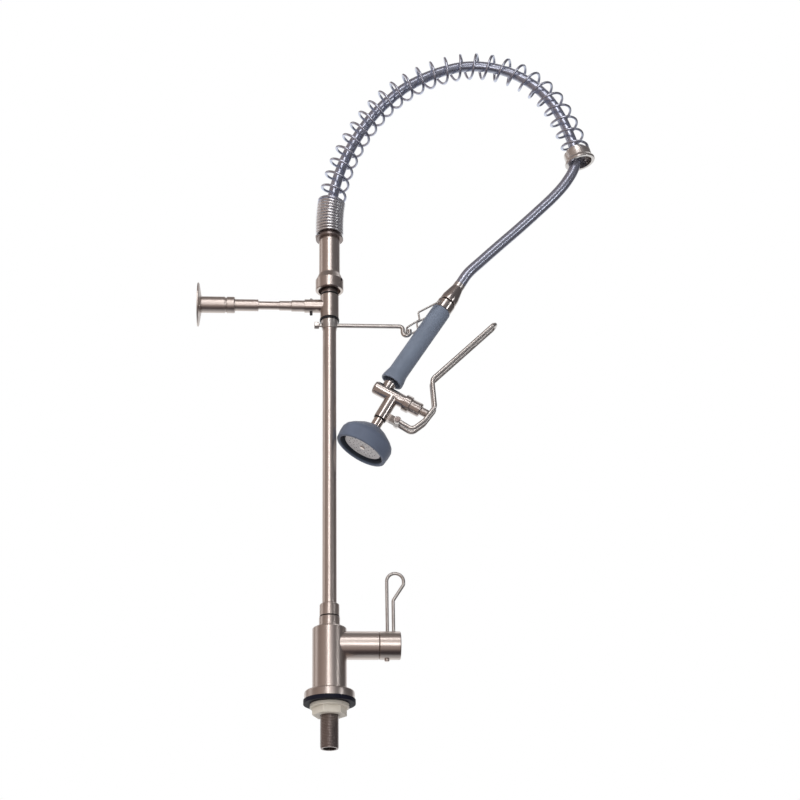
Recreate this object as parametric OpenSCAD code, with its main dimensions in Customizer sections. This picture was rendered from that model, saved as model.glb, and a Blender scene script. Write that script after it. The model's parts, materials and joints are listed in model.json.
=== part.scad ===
// Deck-mounted pre-rinse faucet: a base valve, a swivelling riser, a spring arch that
// carries a hose, and a squeeze spray gun hanging in a hook. Millimetres, +Z up,
// origin at the centre of the gasket's underside, which lies on the deck.

/* [Deck fitting] */
// Diameter over the thread of the inlet shank
shank_d = 20.96; // [19:0.01:24]
// How far the upper thread, for the mounting nut, stands out beyond the lower one
upper_thread_step = 0.52; // [0.4:0.01:1]
// Bore of the inlet shank
shank_bore_d = 15.4; // [8:0.1:15.8]
// How far the shank reaches below the deck
shank_drop = 51; // [48:1:90]
// How far the shank screws up into the valve body
shank_grip = 15; // [10:1:20]
// Diameter of the mounting nut's flange
nut_flange_d = 45; // [42:1:54]
// Thickness of the mounting nut's flange
nut_flange_t = 4.5; // [3:0.5:8]
// Height of the mounting nut with its flange
nut_h = 13; // [10:1:18]
// Width of the mounting nut across its flats
nut_af = 35; // [32:1:38]
// Diameter of the deck gasket
gasket_d = 60; // [58:1:70]
// Thickness of the deck gasket
gasket_t = 5; // [2:0.5:8]
// How far the gasket's underside is recessed inside its sealing lip
gasket_recess = 0.6; // [0.3:0.1:1]
// Diameter of the base flange
flange_d = 58; // [50:1:70]
// Thickness of the base flange
flange_t = 10; // [7:0.5:14]
// Radius of the base flange's top edge
flange_edge = 2.5; // [1:0.5:4]

/* [Base valve] */
// Diameter of the upright valve body
body_d = 40; // [38:1:50]
// Height of the valve body above the base flange
body_h = 75; // [74:1:90]
// Height of the side barrel's axis above the base flange
barrel_rise = 54.5; // [50:0.5:55]
// Diameter of the side barrel
barrel_d = 33; // [32:0.5:36]
// Distance from the riser's axis to the side barrel's end
barrel_reach = 56.7; // [56:0.1:70]
// Diameter of the ceramic cartridge
cartridge_d = 24; // [23:0.5:25]
// Length of the ceramic cartridge
cartridge_len = 30; // [26:1:34]
// Thickness of each ceramic disc
disc_t = 3; // [2.5:0.5:3.5]
// Diameter of the ceramic discs
disc_d = 19.8; // [18:0.1:19.8]
// Thickness of the cartridge's seat seal
seat_seal_t = 2; // [1:0.5:3]
// Diameter of the valve spindle
spindle_d = 8; // [7:0.5:9]

/* [Base lever] */
// Length of the lever hub
hub_len = 25.1; // [22:0.1:30]
// Gap between the side barrel and the lever hub
hub_gap = 0.5; // [0.3:0.1:1]
// Diameter of the lever wire
lever_wire_d = 4; // [3:0.5:5]
// Distance from the side barrel's end to the lever's inner leg
lever_leg_in = 10.5; // [8:0.5:12]
// Distance between the lever's two legs at the hub
lever_leg_gap = 7.2; // [6:0.1:8]
// Width of the lever's round top, centre to centre of the wire
lever_loop_w = 19.8; // [16:0.2:24]
// Height of the lever's top above the spindle's axis
lever_reach = 87.9; // [80:0.1:110]
// Height of the lever's top above the upper end of its slant
lever_slant_top = 13.6; // [11:0.1:18]
// Height of the lever's top above the lower end of its slant
lever_slant_foot = 33.4; // [28:0.1:40]
// Depth of the lever's holes in the hub
lever_socket = 10; // [6:1:11]

/* [Riser] */
// Outer diameter of the riser pipe
riser_d = 17; // [16:0.1:18]
// Bore of the riser pipe
riser_bore_d = 13.6; // [10:0.1:14.5]
// Length of the riser pipe
riser_len = 439; // [400:1:520]
// Diameter of the swivel neck on the valve body
neck_d = 24.5; // [23:0.1:30]
// Height of the swivel neck above the valve body
neck_h = 13.5; // [11:0.5:20]
// Thickness of the black ring between the neck and the riser collar
collar_seal_t = 1; // [0.5:0.1:2]
// Diameter of the riser collar
collar_d = 23.3; // [22:0.1:30]
// Height of the riser collar
collar_h = 14.5; // [12:0.5:24]

/* [Hook] */
// Height of the hook collar
hook_collar_h = 11; // [9:0.5:16]
// Diameter of the hook collar at its top
hook_collar_top_d = 22; // [21:0.5:26]
// Diameter of the hook collar at its bottom
hook_collar_low_d = 18.8; // [18.8:0.1:22]
// Diameter of the hook rod
hook_rod_d = 5.5; // [4:0.5:6]
// Clear width inside the hook's bend
hook_gap = 3.1; // [2.6:0.1:4]
// How far the hook's tip stands above the middle of its bend
hook_tip = 3.7; // [2:0.1:8]
// How far the arm lies above the middle of the hook's bend
hook_drop = 8.2; // [7.5:0.1:14]

/* [Wall bracket] */
// Thickness of the washer under the tee
tee_washer_t = 2.9; // [1.5:0.1:4]
// Diameter of the tee's body
tee_d = 23.4; // [22:0.1:30]
// Height of the tee's body
tee_h = 33.1; // [28:0.1:40]
// Diameter of the tee's branch
branch_d = 17; // [16:0.1:20]
// Distance from the riser's axis to the branch's end
branch_reach = 31.3; // [29:0.1:40]
// Diameter of the arm rod
arm_rod_d = 10.4; // [8:0.1:11]
// Outer diameter of the arm tube
arm_tube_d = 14.8; // [14:0.1:16]
// Outer diameter of the arm sleeve at the wall
arm_sleeve_d = 20.6; // [19:0.1:26]
// Distance from the riser's axis to the wall
wall_reach = 165; // [165:1:260]
// Diameter of the wall flange
wall_flange_d = 55; // [50:1:80]
// Thickness of the wall flange
wall_flange_t = 4.7; // [3:0.1:8]
// Diameter of the circle that the wall screws lie on
wall_pcd = 40; // [36:1:44]
// How far the wall arm slides each way
arm_slide = 25; // [10:1:25]

/* [Hose head] */
// Thickness of the seal on top of the tee
top_seal_t = 1.5; // [1:0.1:3]
// Diameter over the coupling nut
coupling_d = 35.2; // [34:0.1:42]
// Height of the coupling nut's straight side
coupling_h = 15; // [14:0.5:20]
// Diameter of the sleeve above the coupling nut
sleeve_d = 26.4; // [26:0.1:32]
// Length of the sleeve above the coupling nut
sleeve_len = 60; // [56:1:80]
// Diameter of the flange that the spring stands on
seat_flange_d = 35; // [34:0.5:44]
// Thickness of that flange
seat_flange_t = 2; // [1.5:0.5:4]

/* [Spring] */
// Outer diameter of the spring
spring_d = 36; // [35:0.5:40]
// Diameter of the spring's wire
spring_wire_d = 3.5; // [2.5:0.1:3.8]
// Number of close turns at the spring's foot
close_turns = 12; // [6:1:16]
// Rise of each close turn
close_pitch = 4.2; // [4.2:0.1:6]
// Number of open turns round the arch
open_turns = 26; // [16:1:28]
// Length of the spring's straight foot
foot_len = 16; // [10:1:40]
// Bend radius of the arch just above the foot
foot_r = 250; // [250:5:400]
// Angle of that bend
foot_sweep = 6; // [2:1:10]
// Bend radius of the arch's rising side
rise_r = 300; // [280:5:340]
// Angle of the rising side
rise_sweep = 32; // [28:1:36]
// Bend radius of the arch's shoulder
shoulder_r = 205; // [180:5:240]
// Angle of the shoulder
shoulder_sweep = 34; // [30:1:38]
// Bend radius of the arch's crown
crown_r = 117; // [100:1:140]
// Angle of the crown
crown_sweep = 84; // [76:1:90]
// Bend radius of the arch's falling end
fall_r = 390; // [300:10:500]
// Angle of the falling end
fall_sweep = 10; // [4:1:14]
// Height of the ring on the spring's end
end_ring_h = 16; // [12:0.5:24]
// Diameter over the end ring's lip
end_ring_lip_d = 40.4; // [40:0.2:46]
// Diameter of the end ring's mouth
end_ring_mouth_d = 31; // [28:0.5:33]

/* [Hose] */
// Outer diameter of the hose
hose_d = 14; // [12:0.5:14]

/* [Gun placement] */
// Tilt of the spray gun's outlet from upright
gun_tilt = 29.5; // [27:0.5:32]
// Gap between the hanging bumper and the riser
bumper_gap = 0.5; // [0.3:0.1:12]

/* [Spray valve] */
// Diameter of the spray valve's barrel
gun_barrel_d = 17; // [16.5:0.1:18]
// Length of the barrel from the outlet's axis to its mouth
gun_barrel_front = 15.3; // [14:0.1:18]
// Length of the barrel from the outlet's axis to its closed end
gun_barrel_back = 27.2; // [26:0.1:32]
// Diameter of the outlet tube
outlet_d = 16.5; // [16:0.1:18]
// Length of the outlet tube from the barrel's axis
outlet_len = 34.6; // [34:0.1:42]
// Diameter of the bonnet's ring
bonnet_ring_d = 21.5; // [20:0.1:24]
// Diameter of the bonnet
bonnet_d = 17.8; // [16:0.1:19]
// Length of the bonnet
bonnet_len = 23.4; // [22:0.1:28]
// Diameter of the plunger
plunger_d = 10.5; // [9.5:0.1:10.8]
// How far the plunger stands out of the bonnet
plunger_out = 9.2; // [8.5:0.1:9.3]

/* [Handle] */
// Angle between the handle and the outlet's axis
handle_lean = 3.4; // [0:0.2:6]
// Distance from the outlet's axis to the handle's foot
handle_back = 12.4; // [11:0.1:14]
// Diameter of the handle tube
handle_tube_d = 12; // [11:0.1:13]
// Distance from the barrel's axis to the grip's flared end
grip_start = 16; // [14:0.5:20]
// Length of the grip
grip_len = 120; // [110:1:130]
// Diameter of the grip
grip_d = 24.6; // [23:0.1:25]
// Diameter of the grip's flared end
grip_flare_d = 29; // [26:0.5:30]
// Length of the grip's flared end
grip_flare_len = 18; // [17:1:30]
// Diameter of the collar above the grip
handle_collar_d = 23.5; // [23:0.1:26]
// Height of the collar above the grip
handle_collar_h = 12; // [9:0.5:16]
// Thickness of the seal above that collar
handle_seal_t = 1.5; // [1:0.1:3]
// Height of the swivel nut
swivel_nut_h = 24; // [22:0.5:30]
// Diameter of the swivel nut at its wide end
swivel_nut_d = 22; // [21:0.1:26]
// Length of the hose ferrule
ferrule_len = 6.5; // [4:0.5:12]

/* [Hanger bail] */
// Diameter of the bail's wire
bail_wire_d = 2.4; // [2:0.1:2.4]
// Width of the bail, centre to centre of its legs
bail_w = 28; // [27:0.5:34]

/* [Squeeze lever] */
// Diameter of the squeeze lever's rod
squeeze_rod_d = 5.5; // [4.5:0.1:5.8]
// Width of the squeeze lever, centre to centre of its rods
squeeze_w = 13; // [13:0.5:16]
// Diameter of the lever pin
lever_pin_d = 4; // [3:0.5:5]

/* [Spray head] */
// Diameter of the spray neck
spray_neck_d = 13.5; // [13:0.1:15]
// Length of the spray neck that shows
spray_neck_len = 11.4; // [8:0.1:20]
// Widest diameter of the rubber bumper
bumper_d = 68; // [66:1:76]
// Height of the rubber bumper
bumper_h = 36.1; // [34:0.1:44]
// Diameter of the spray face
spray_face_d = 48; // [44:1:50]
// How far the spray face sits inside the bumper's rim
spray_face_recess = 5.3; // [4:0.1:7]
// Diameter of one spray hole
spray_hole_d = 1.4; // [1:0.1:1.8]

/* [Fits] */
// Radial gap between parts that turn or slide in each other
run_gap = 0.05; // [0.02:0.01:0.08]
// Radial gap between parts that are screwed or pressed together
fix_gap = 0.02; // [0.01:0.01:0.03]
// Gap between faces that turn past each other
face_gap = 0.3; // [0.2:0.05:0.4]

/* [Hidden] */
$fn = 64;
// How far a cutting shape runs past the face that it cuts
past = 1;

// Radii
shank_r = shank_d / 2;
upper_thread_r = shank_r + upper_thread_step;
body_r = body_d / 2;
barrel_r = barrel_d / 2;
cartridge_r = cartridge_d / 2;
disc_r = disc_d / 2;
spindle_r = spindle_d / 2;
neck_r = neck_d / 2;
riser_r = riser_d / 2;
hook_rod_r = hook_rod_d / 2;
tee_r = tee_d / 2;
branch_r = branch_d / 2;
arm_rod_r = arm_rod_d / 2;
arm_tube_r = arm_tube_d / 2;
sleeve_r = sleeve_d / 2;
hose_r = hose_d / 2;
gun_barrel_r = gun_barrel_d / 2;
outlet_r = outlet_d / 2;
bonnet_r = bonnet_d / 2;
plunger_r = plunger_d / 2;
handle_tube_r = handle_tube_d / 2;
lever_pin_r = lever_pin_d / 2;
bumper_r = bumper_d / 2;
spray_face_r = spray_face_d / 2;

// Heights of the base, from the deck up
flange_top = gasket_t + flange_t;
body_top = flange_top + body_h;
barrel_z = flange_top + barrel_rise;
shank_top = flange_top + shank_grip;
upper_thread_z = -nut_h - 0.5;
neck_top = body_top + neck_h;
column_z = neck_top + collar_seal_t;
collar_top = column_z + collar_h;

// The cartridge lies along X in the side barrel, between the end chamber and the nut
chamber_x0 = -4;
chamber_r = 7;
cartridge_x0 = barrel_reach - 10.7 - cartridge_len;
cartridge_x1 = cartridge_x0 + cartridge_len;
cartridge_nut_len = 8;
moving_disc_x = cartridge_x0 + disc_t + run_gap;
spindle_flange_x = moving_disc_x + disc_t;
spindle_flange_t = 2.4;
hub_x0 = barrel_reach + hub_gap;
hub_r = barrel_r;
spindle_end_x = hub_x0 + 12.8;
leg_in_x = barrel_reach + lever_leg_in;
leg_out_x = leg_in_x + lever_leg_gap;
leg_foot_z = barrel_z + hub_r - lever_socket;

// The riser's swivel: the collar's spigot turns inside the neck on two O-rings
spigot_r = neck_r - 4.25;
spigot_z = body_top - 6;
o_ring_r = 1;
o_ring_at = [spigot_z + 4.5, spigot_z + 12];
riser_z = column_z + 1.5;
riser_top = riser_z + riser_len;

// The stack at the riser's head, from the riser's top down to the hook collar
riser_socket = 18.4;
adapter_z = riser_top - riser_socket;
top_seal_z = adapter_z - top_seal_t;
tee_top = top_seal_z - run_gap;
tee_z = tee_top - tee_h;
tee_washer_z = tee_z - run_gap - tee_washer_t;
hook_collar_z = tee_washer_z - hook_collar_h;
branch_z = tee_z + 0.56 * tee_h;

// The stack at the riser's head, from the riser's top up to the spring's foot
adapter_r = riser_r + 2;
clamp_r = adapter_r + 3.5;
clamp_z = riser_top - 7;
clamp_top = riser_top + 1;
adapter_top = riser_top + 11;
sleeve_flange_t = 2;
coupling_z = riser_top - 13;
coupling_top = coupling_z + coupling_h;
coupling_cone_h = 8;
sleeve_top = clamp_top + sleeve_len;
seat_top = sleeve_top + seat_flange_t;
seat_bore_r = hose_r + 2;
connector_top = sleeve_top - 6;

// The hook: the arm runs out along X and bends into a J
hook_bend_r = hook_gap / 2 + hook_rod_r;
hook_z = hook_collar_z + hook_collar_h / 2;
hang_z = hook_z - hook_drop;

// The wall bracket: each piece runs along -X from the one before
adapter_x = branch_reach;
adapter_body_len = 16.4;
adapter_neck_len = 15.2;
adapter_step = adapter_x + adapter_body_len;
adapter_end = adapter_step + adapter_neck_len;
adapter_neck_r = branch_r - 2.5;
rod_shows = 26.1;
tube_shows = 29.4;
tube_start = adapter_end + rod_shows;
lock_ring_x = tube_start + tube_shows;
lock_ring_len = 10;
sleeve_start = lock_ring_x + lock_ring_len + face_gap;
sleeve_groove = 2;
wall_flange_x = wall_reach - wall_flange_t;
rod_end = wall_flange_x - arm_slide - 1.5;

// Centre line of the arch: it starts upright on the seat, and each bend takes up where
// the one before ends. A bend is [radius, sweep], a state is [x, z, heading, length]
bends = [[foot_r, foot_sweep], [rise_r, rise_sweep], [shoulder_r, shoulder_sweep],
         [crown_r, crown_sweep], [fall_r, fall_sweep]];
function bend_on(state, r, sweep) = [
    state[0] + r * (sin(state[2]) - sin(state[2] - sweep)),
    state[1] + r * (cos(state[2] - sweep) - cos(state[2])),
    state[2] - sweep,
    state[3] + r * sweep * PI / 180];
function arch_states(i = 0, state = [0, seat_top + foot_len, 90, foot_len]) =
    i == len(bends) ? [state]
    : concat([state], arch_states(i + 1, bend_on(state, bends[i][0], bends[i][1])));
arch = arch_states();
arch_end = arch[len(bends)];
function bend_at(s, i = 0) = i == len(bends) - 1 || s < arch[i + 1][3] ? i : bend_at(s, i + 1);
function arch_at(s) = s < foot_len ? [0, seat_top + s, 90]
    : let (i = bend_at(s), r = bends[i][0]) bend_on(arch[i], r, (s - arch[i][3]) / r * 180 / PI);

// The spring: left-handed, close-wound at its foot and open round the arch, one tube
// with 8 rings to a turn. Its ends run straight for one wire diameter
wire_r = spring_wire_d / 2;
rings_per_turn = 8;
// A ring's centre lies this far out, so that the eight chords of a turn keep its mean radius
coil_r = (spring_d / 2 - wire_r) * 2 / (1 + cos(180 / rings_per_turn));
spring_bore_r = coil_r * cos(180 / rings_per_turn) - wire_r;
close_len = close_turns * close_pitch;
open_pitch = (arch_end[3] - 2 * spring_wire_d - close_len) / open_turns;
function turn_s(turn) = spring_wire_d
    + min(turn, close_turns) * close_pitch + max(turn - close_turns, 0) * open_pitch;
function coil_out(s, angle) = let (a = arch_at(s)[2])
    [-sin(a) * cos(angle), sin(angle), cos(a) * cos(angle)];
function coil_point(s, angle) = let (c = arch_at(s)) [c[0], 0, c[1]] + coil_r * coil_out(s, angle);
spring_rings = (close_turns + open_turns) * rings_per_turn;
spring_steps = concat([[0, 0]],
    [for (i = [0:spring_rings]) [turn_s(i / rings_per_turn), i * 360 / rings_per_turn]],
    [[arch_end[3] - fix_gap, spring_rings * 360 / rings_per_turn]]);
spring_points = [for (p = spring_steps) coil_point(p[0], p[1])];
spring_outs = [for (p = spring_steps) coil_out(p[0], p[1])];
spring_gap = min([for (i = [0:len(spring_points) - 7], j = [i + 6:min(i + 20, len(spring_points) - 1)])
    norm(spring_points[i] - spring_points[j])]) - spring_wire_d;
echo(spring_least_gap = spring_gap);

// Route of the hose in the XZ plane: up through the spring, over, and down to the gun
hose_route = [
    [0, 600], [0, 623], [1, 646], [6, 678], [14, 709], [25, 738], [39, 766], [56, 793],
    [76, 817], [99, 839], [125, 856], [153, 869], [182, 877], [213, 877], [243, 869],
    [270, 853], [292, 830], [307, 803], [318, 773], [324, 748], [323, 724], [311, 700],
    [293, 677], [268, 651], [243, 626], [218, 602], [194, 578.5], [176.5, 560.8], [165.62, 544.12]];

// The gun's own frame: origin where the barrel's axis crosses the outlet's, +X along the
// barrel to the plunger, +Z up the outlet. The bail's cross wire hangs at bail_at in it
bail_at = [-28.4, 85.6];
outlet_seal_t = 1.5;
bumper_rim = [bumper_r - 1, outlet_len + outlet_seal_t + spray_neck_len + bumper_h - 0.6];
hook_x = riser_r + bumper_gap + (bumper_rim[0] + bail_at[0]) * cos(gun_tilt)
    + (bumper_rim[1] + bail_at[1]) * sin(gun_tilt);

// Places along the barrel
bonnet_x = gun_barrel_front;
bonnet_ring_len = 9;
bonnet_end = bonnet_x + bonnet_len;
plunger_end = bonnet_end + plunger_out;
seat_x = -4;
seat_washer_t = 4;
stem_r = 2;
return_spring_x = -20;
bonnet_thread_r = gun_barrel_r - 2;
bonnet_thread_x = 6;
port_r = 4;

// Places along the handle, from the barrel's axis up
grip_end = grip_start + grip_len;
handle_collar_top = grip_end + handle_collar_h;
handle_seal_top = handle_collar_top + handle_seal_t;
swivel_nut_top = handle_seal_top + swivel_nut_h;
handle_end = swivel_nut_top + ferrule_len;
handle_tube_top = handle_seal_top + 10.5;
nut_thread_r = handle_tube_r + 0.5;
tail_flange_t = 2.5;
tail_r = 4.5;
ferrule_r = hose_r + 0.3;

// Places down the outlet
spray_neck_z = -outlet_len - outlet_seal_t;
spray_neck_r = spray_neck_d / 2;
bumper_z = spray_neck_z - spray_neck_len;
rim_z = bumper_z - bumper_h;
face_z = rim_z + spray_face_recess;
face_t = 2;
cup_z = bumper_z - 12.5;
cup_wall = 1.5;
cup_chamfer = 5;
bumper_slope_w = 15.5;
bumper_side_from = 20.5;
bumper_side_to = 27;
hub_boss_r = 8;
groove_floor = face_z + 4;
lip_r = bumper_r - 4.8;

// The squeeze lever's pin, and the lever's path from the pin out, up and along the handle
pin_at = [20.5, -28.2];
squeeze_path = [pin_at, [42.2, -29.6], [49.3, -12.2], [51.9, 10.8], [31.3, 42.1], [63.5, 150.9]];
squeeze_bends = [7.5, 14, 8, 9];
tab_half = squeeze_w / 2 - squeeze_rod_d / 2 - face_gap;
eye_r = lever_pin_r + 2.5;

// The bail's legs, in the hook's frame: the cross wire lies in the hook at the origin
bail_wire_r = bail_wire_d / 2;
bail_hole = [43.5, 38.2];
bail_path = [[0, 0], [10, 6.9], [16, 10.7], [14.5, 21.2], bail_hole];

// A solid of revolution about Z from an outline of [radius, height] points
module turned(outline) {
    rotate_extrude() polygon(outline);
}

// A tube about Z from height z0 to z1
module tube(z0, z1, outer, inner) {
    turned([[inner, z0], [outer, z0], [outer, z1], [inner, z1]]);
}

// An O-ring about Z whose section's centre lies at radius r and height z
module o_ring(r, z, section) {
    translate([0, 0, z]) rotate_extrude() translate([r, 0]) circle(r = section);
}

// Turns the Z axis to +X, or to -X
module along_x() {
    rotate([0, 90, 0]) children();
}
module along_minus_x() {
    rotate([0, -90, 0]) children();
}

// Frames of the spring's end, the hook, the gun and the handle
module at_arch_end() {
    translate([arch_end[0], 0, arch_end[1]]) rotate([0, 90 - arch_end[2], 0]) children();
}
module at_hook() {
    translate([hook_x, 0, hang_z]) children();
}
module in_gun() {
    at_hook() rotate([0, gun_tilt, 0]) translate([-bail_at[0], 0, -bail_at[1]]) children();
}
module in_handle() {
    in_gun() translate([-handle_back, 0, 0]) rotate([0, handle_lean, 0]) children();
}

// A tube swept through points: outs holds a sideways direction for each point
function unit(v) = v / norm(v);
function step_before(points, i) = i == 0 ? [0, 0, 0] : unit(points[i] - points[i - 1]);
function tangent(points, i) = unit(step_before(points, i)
    + (i == len(points) - 1 ? [0, 0, 0] : step_before(points, i + 1)));
module swept(points, outs, r, sides) {
    n = len(points);
    rings = [for (i = [0:n - 1])
        let (t = tangent(points, i), e = unit(outs[i] - (outs[i] * t) * t), f = cross(t, e))
        for (k = [0:sides - 1]) points[i] + r * (cos(k * 360 / sides) * e + sin(k * 360 / sides) * f)];
    walls = [for (i = [0:n - 2], k = [0:sides - 1])
        let (a = i * sides + k, b = i * sides + (k + 1) % sides)
        each [[a, a + sides, b + sides], [a, b + sides, b]]];
    first_end = [for (k = [1:sides - 2]) [0, k, k + 1]];
    far = (n - 1) * sides;
    last_end = [for (k = [1:sides - 2]) [far, far + k + 1, far + k]];
    polyhedron(points = rings, faces = concat(walls, first_end, last_end));
}

// A round rod through 3-D points, bent to the radii given for the points between the ends,
// with a ring at least every 15 degrees of a bend
function bend_points(a, p, b, r) =
    let (d = unit(p - a), e = unit(b - p), angle = acos(d * e), inward = unit(e - (e * d) * d),
         start = p - d * r * tan(angle / 2), steps = ceil(angle / 15))
    [for (i = [0:steps]) let (t = angle * i / steps) start + r * (sin(t) * d + (1 - cos(t)) * inward)];
function rod_points(points, radii) = concat([points[0]],
    [for (i = [1:len(points) - 2]) each bend_points(points[i - 1], points[i], points[i + 1], radii[i - 1])],
    [points[len(points) - 1]]);
function carried(points, out, i = 0) = i == len(points) ? []
    : let (t = tangent(points, i), e = unit(out - (out * t) * t))
      concat([e], carried(points, e, i + 1));
module bent_rod(points, radii, rod_r, out) {
    route = rod_points(points, radii);
    swept(route, carried(route, out), rod_r, 12);
}

// Deck fitting

module shank() {
    color("#6a625c")
        turned([[shank_bore_d / 2, -shank_drop], [shank_r - 1, -shank_drop],
                [shank_r, -shank_drop + 1], [shank_r, upper_thread_z],
                [upper_thread_r, upper_thread_z], [upper_thread_r, shank_top],
                [shank_bore_d / 2, shank_top]]);
}

module mounting_nut() {
    color("#d8cdbb") difference() {
        translate([0, 0, -run_gap]) union() {
            translate([0, 0, -nut_flange_t]) cylinder(h = nut_flange_t, d = nut_flange_d);
            rotate([0, 0, 8]) translate([0, 0, -nut_h])
                cylinder(h = nut_h, d = nut_af / cos(30), $fn = 6);
        }
        translate([0, 0, -nut_h - past])
            cylinder(h = nut_h + 2 * past, r = upper_thread_r + run_gap);
    }
}

// The gasket's lip lies on the deck outside the nut's flange
module deck_gasket() {
    bore = upper_thread_r + face_gap;
    lip = nut_flange_d / 2 + 1;
    color("#33363d") turned([[lip, 0], [gasket_d / 2, 0], [gasket_d / 2, gasket_t], [bore, gasket_t],
                             [bore, gasket_recess], [lip, gasket_recess]]);
}

module base_flange() {
    edge = [for (a = [0:15:90])
        [flange_d / 2 - flange_edge * (1 - cos(a)), flange_top - flange_edge * (1 - sin(a))]];
    color("#a39d97")
        turned(concat([[upper_thread_r + fix_gap, gasket_t], [flange_d / 2, gasket_t]], edge,
                      [[upper_thread_r + fix_gap, flange_top]]));
}

// Base valve

outlet_drill_from = [cartridge_x0 + 6, barrel_z + 9.5];
outlet_drill_to = [6, body_top - 6];
neck_pocket = 8;
neck_spigot_r = neck_r - 1.75;

module valve_body() {
    seal_x0 = cartridge_x0 - seat_seal_t;
    drill = outlet_drill_to - outlet_drill_from;
    color("#9c9690") difference() {
        union() {
            turned([[0, flange_top], [body_r, flange_top], [body_r, body_top - 1.2],
                    [body_r - 1.2, body_top], [0, body_top]]);
            translate([0, 0, barrel_z]) along_x() cylinder(h = barrel_reach, r = barrel_r);
        }
        translate([0, 0, flange_top - past])
            cylinder(h = shank_grip + past, r = upper_thread_r + fix_gap);
        translate([0, 0, flange_top]) cylinder(h = barrel_rise, d = shank_bore_d);
        translate([chamber_x0, 0, barrel_z]) along_x() cylinder(h = seal_x0 - chamber_x0, r = chamber_r);
        translate([seal_x0, 0, barrel_z]) along_x()
            cylinder(h = cartridge_x1 - seal_x0, r = cartridge_r + run_gap);
        translate([cartridge_x1, 0, barrel_z]) along_x()
            cylinder(h = barrel_reach - cartridge_x1 + past, r = barrel_r - 1.9);
        translate([outlet_drill_from[0], 0, outlet_drill_from[1]])
            rotate([0, atan2(drill[0], drill[1]), 0]) cylinder(h = norm(drill), r = 3.5);
        translate([0, 0, body_top - neck_pocket])
            cylinder(h = neck_pocket + past, r = neck_spigot_r);
    }
}

module seat_seal() {
    color("#2b2b2b") translate([0, 0, barrel_z]) along_x()
        tube(cartridge_x0 - seat_seal_t, cartridge_x0, disc_r, 5);
}

// The cartridge holds both discs and the spindle's flange in its open end
module cartridge_body() {
    recess_end = spindle_flange_x + spindle_flange_t + run_gap;
    window = 8;
    color("#c9c4b4") difference() {
        translate([0, 0, barrel_z]) along_x() turned([
            [disc_r + 0.1, cartridge_x0], [cartridge_r, cartridge_x0], [cartridge_r, cartridge_x1],
            [spindle_r + run_gap, cartridge_x1], [spindle_r + run_gap, recess_end],
            [disc_r + 0.1, recess_end]]);
        translate([moving_disc_x, -window / 2, barrel_z + cartridge_r - 3])
            cube([spindle_flange_t + disc_t, window, 2 * past + 3]);
    }
}

// One ceramic disc with a port off its axis
module disc(x) {
    translate([x, 0, barrel_z]) along_x() difference() {
        cylinder(h = disc_t, r = disc_r);
        translate([-5, 0, -past]) cylinder(h = disc_t + 2 * past, r = 3);
    }
}
module fixed_disc() {
    color("#ece8de") disc(cartridge_x0);
}
module moving_disc() {
    color("#dcd8ce") disc(moving_disc_x);
}

module spindle() {
    color("#b0a58c") translate([0, 0, barrel_z]) along_x() union() {
        translate([0, 0, spindle_flange_x]) cylinder(h = spindle_flange_t, r = disc_r - 1.9);
        translate([0, 0, spindle_flange_x]) cylinder(h = spindle_end_x - spindle_flange_x, r = spindle_r);
    }
}

module cartridge_nut() {
    color("#b3a27c") translate([0, 0, barrel_z]) along_x()
        tube(cartridge_x1, cartridge_x1 + cartridge_nut_len, barrel_r - 1.9 - fix_gap, spindle_r + 1);
}

// Base lever

hub_screw_x = hub_x0 + 9.1;
hub_screw_r = 2.9;
hub_screw_out = 2.4;

module lever_hub() {
    edge = 1;
    color("#aaa49e") difference() {
        translate([hub_x0, 0, barrel_z]) along_x() turned([
            [0, 0], [hub_r - edge, 0], [hub_r, edge], [hub_r, hub_len - edge],
            [hub_r - edge, hub_len], [0, hub_len]]);
        translate([hub_x0 - past, 0, barrel_z]) along_x()
            cylinder(h = spindle_end_x - hub_x0 + past, r = spindle_r + fix_gap);
        for (x = [leg_in_x, leg_out_x])
            translate([x, 0, leg_foot_z]) cylinder(h = lever_socket + past, d = lever_wire_d + 2 * fix_gap);
        translate([hub_screw_x, 0, barrel_z - hub_r - past])
            cylinder(h = hub_r + past, r = hub_screw_r + fix_gap);
    }
}

// The lever is one wire: up, round its top, down the slant and back into the hub
module lever_wire() {
    loop_r = lever_loop_w / 2;
    top_z = barrel_z + lever_reach;
    loop_x = leg_in_x + lever_loop_w;
    color("#a8a29c") bent_rod([
        [leg_in_x, 0, leg_foot_z], [leg_in_x, 0, top_z], [loop_x, 0, top_z],
        [loop_x, 0, top_z - lever_slant_top], [leg_out_x, 0, top_z - lever_slant_foot],
        [leg_out_x, 0, leg_foot_z]],
        [loop_r - 0.05, loop_r - 0.05, 5, 5], lever_wire_d / 2, [0, 1, 0]);
}

module hub_screw() {
    screw_z = barrel_z - hub_r - hub_screw_out;
    color("#8d8782") translate([hub_screw_x, 0, screw_z])
        cylinder(h = barrel_z - spindle_r - screw_z, r = hub_screw_r);
}

// Riser

module swivel_neck() {
    color("#a19b95") turned([
        [spigot_r + run_gap, body_top - neck_pocket], [neck_spigot_r - fix_gap, body_top - neck_pocket],
        [neck_spigot_r - fix_gap, body_top], [neck_r, body_top], [neck_r, neck_top - 0.8],
        [neck_r - 0.8, neck_top], [spigot_r + run_gap, neck_top]]);
}

module collar_seal() {
    color("#202124") tube(neck_top + run_gap, column_z, collar_d / 2, spigot_r + 0.1);
}

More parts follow.
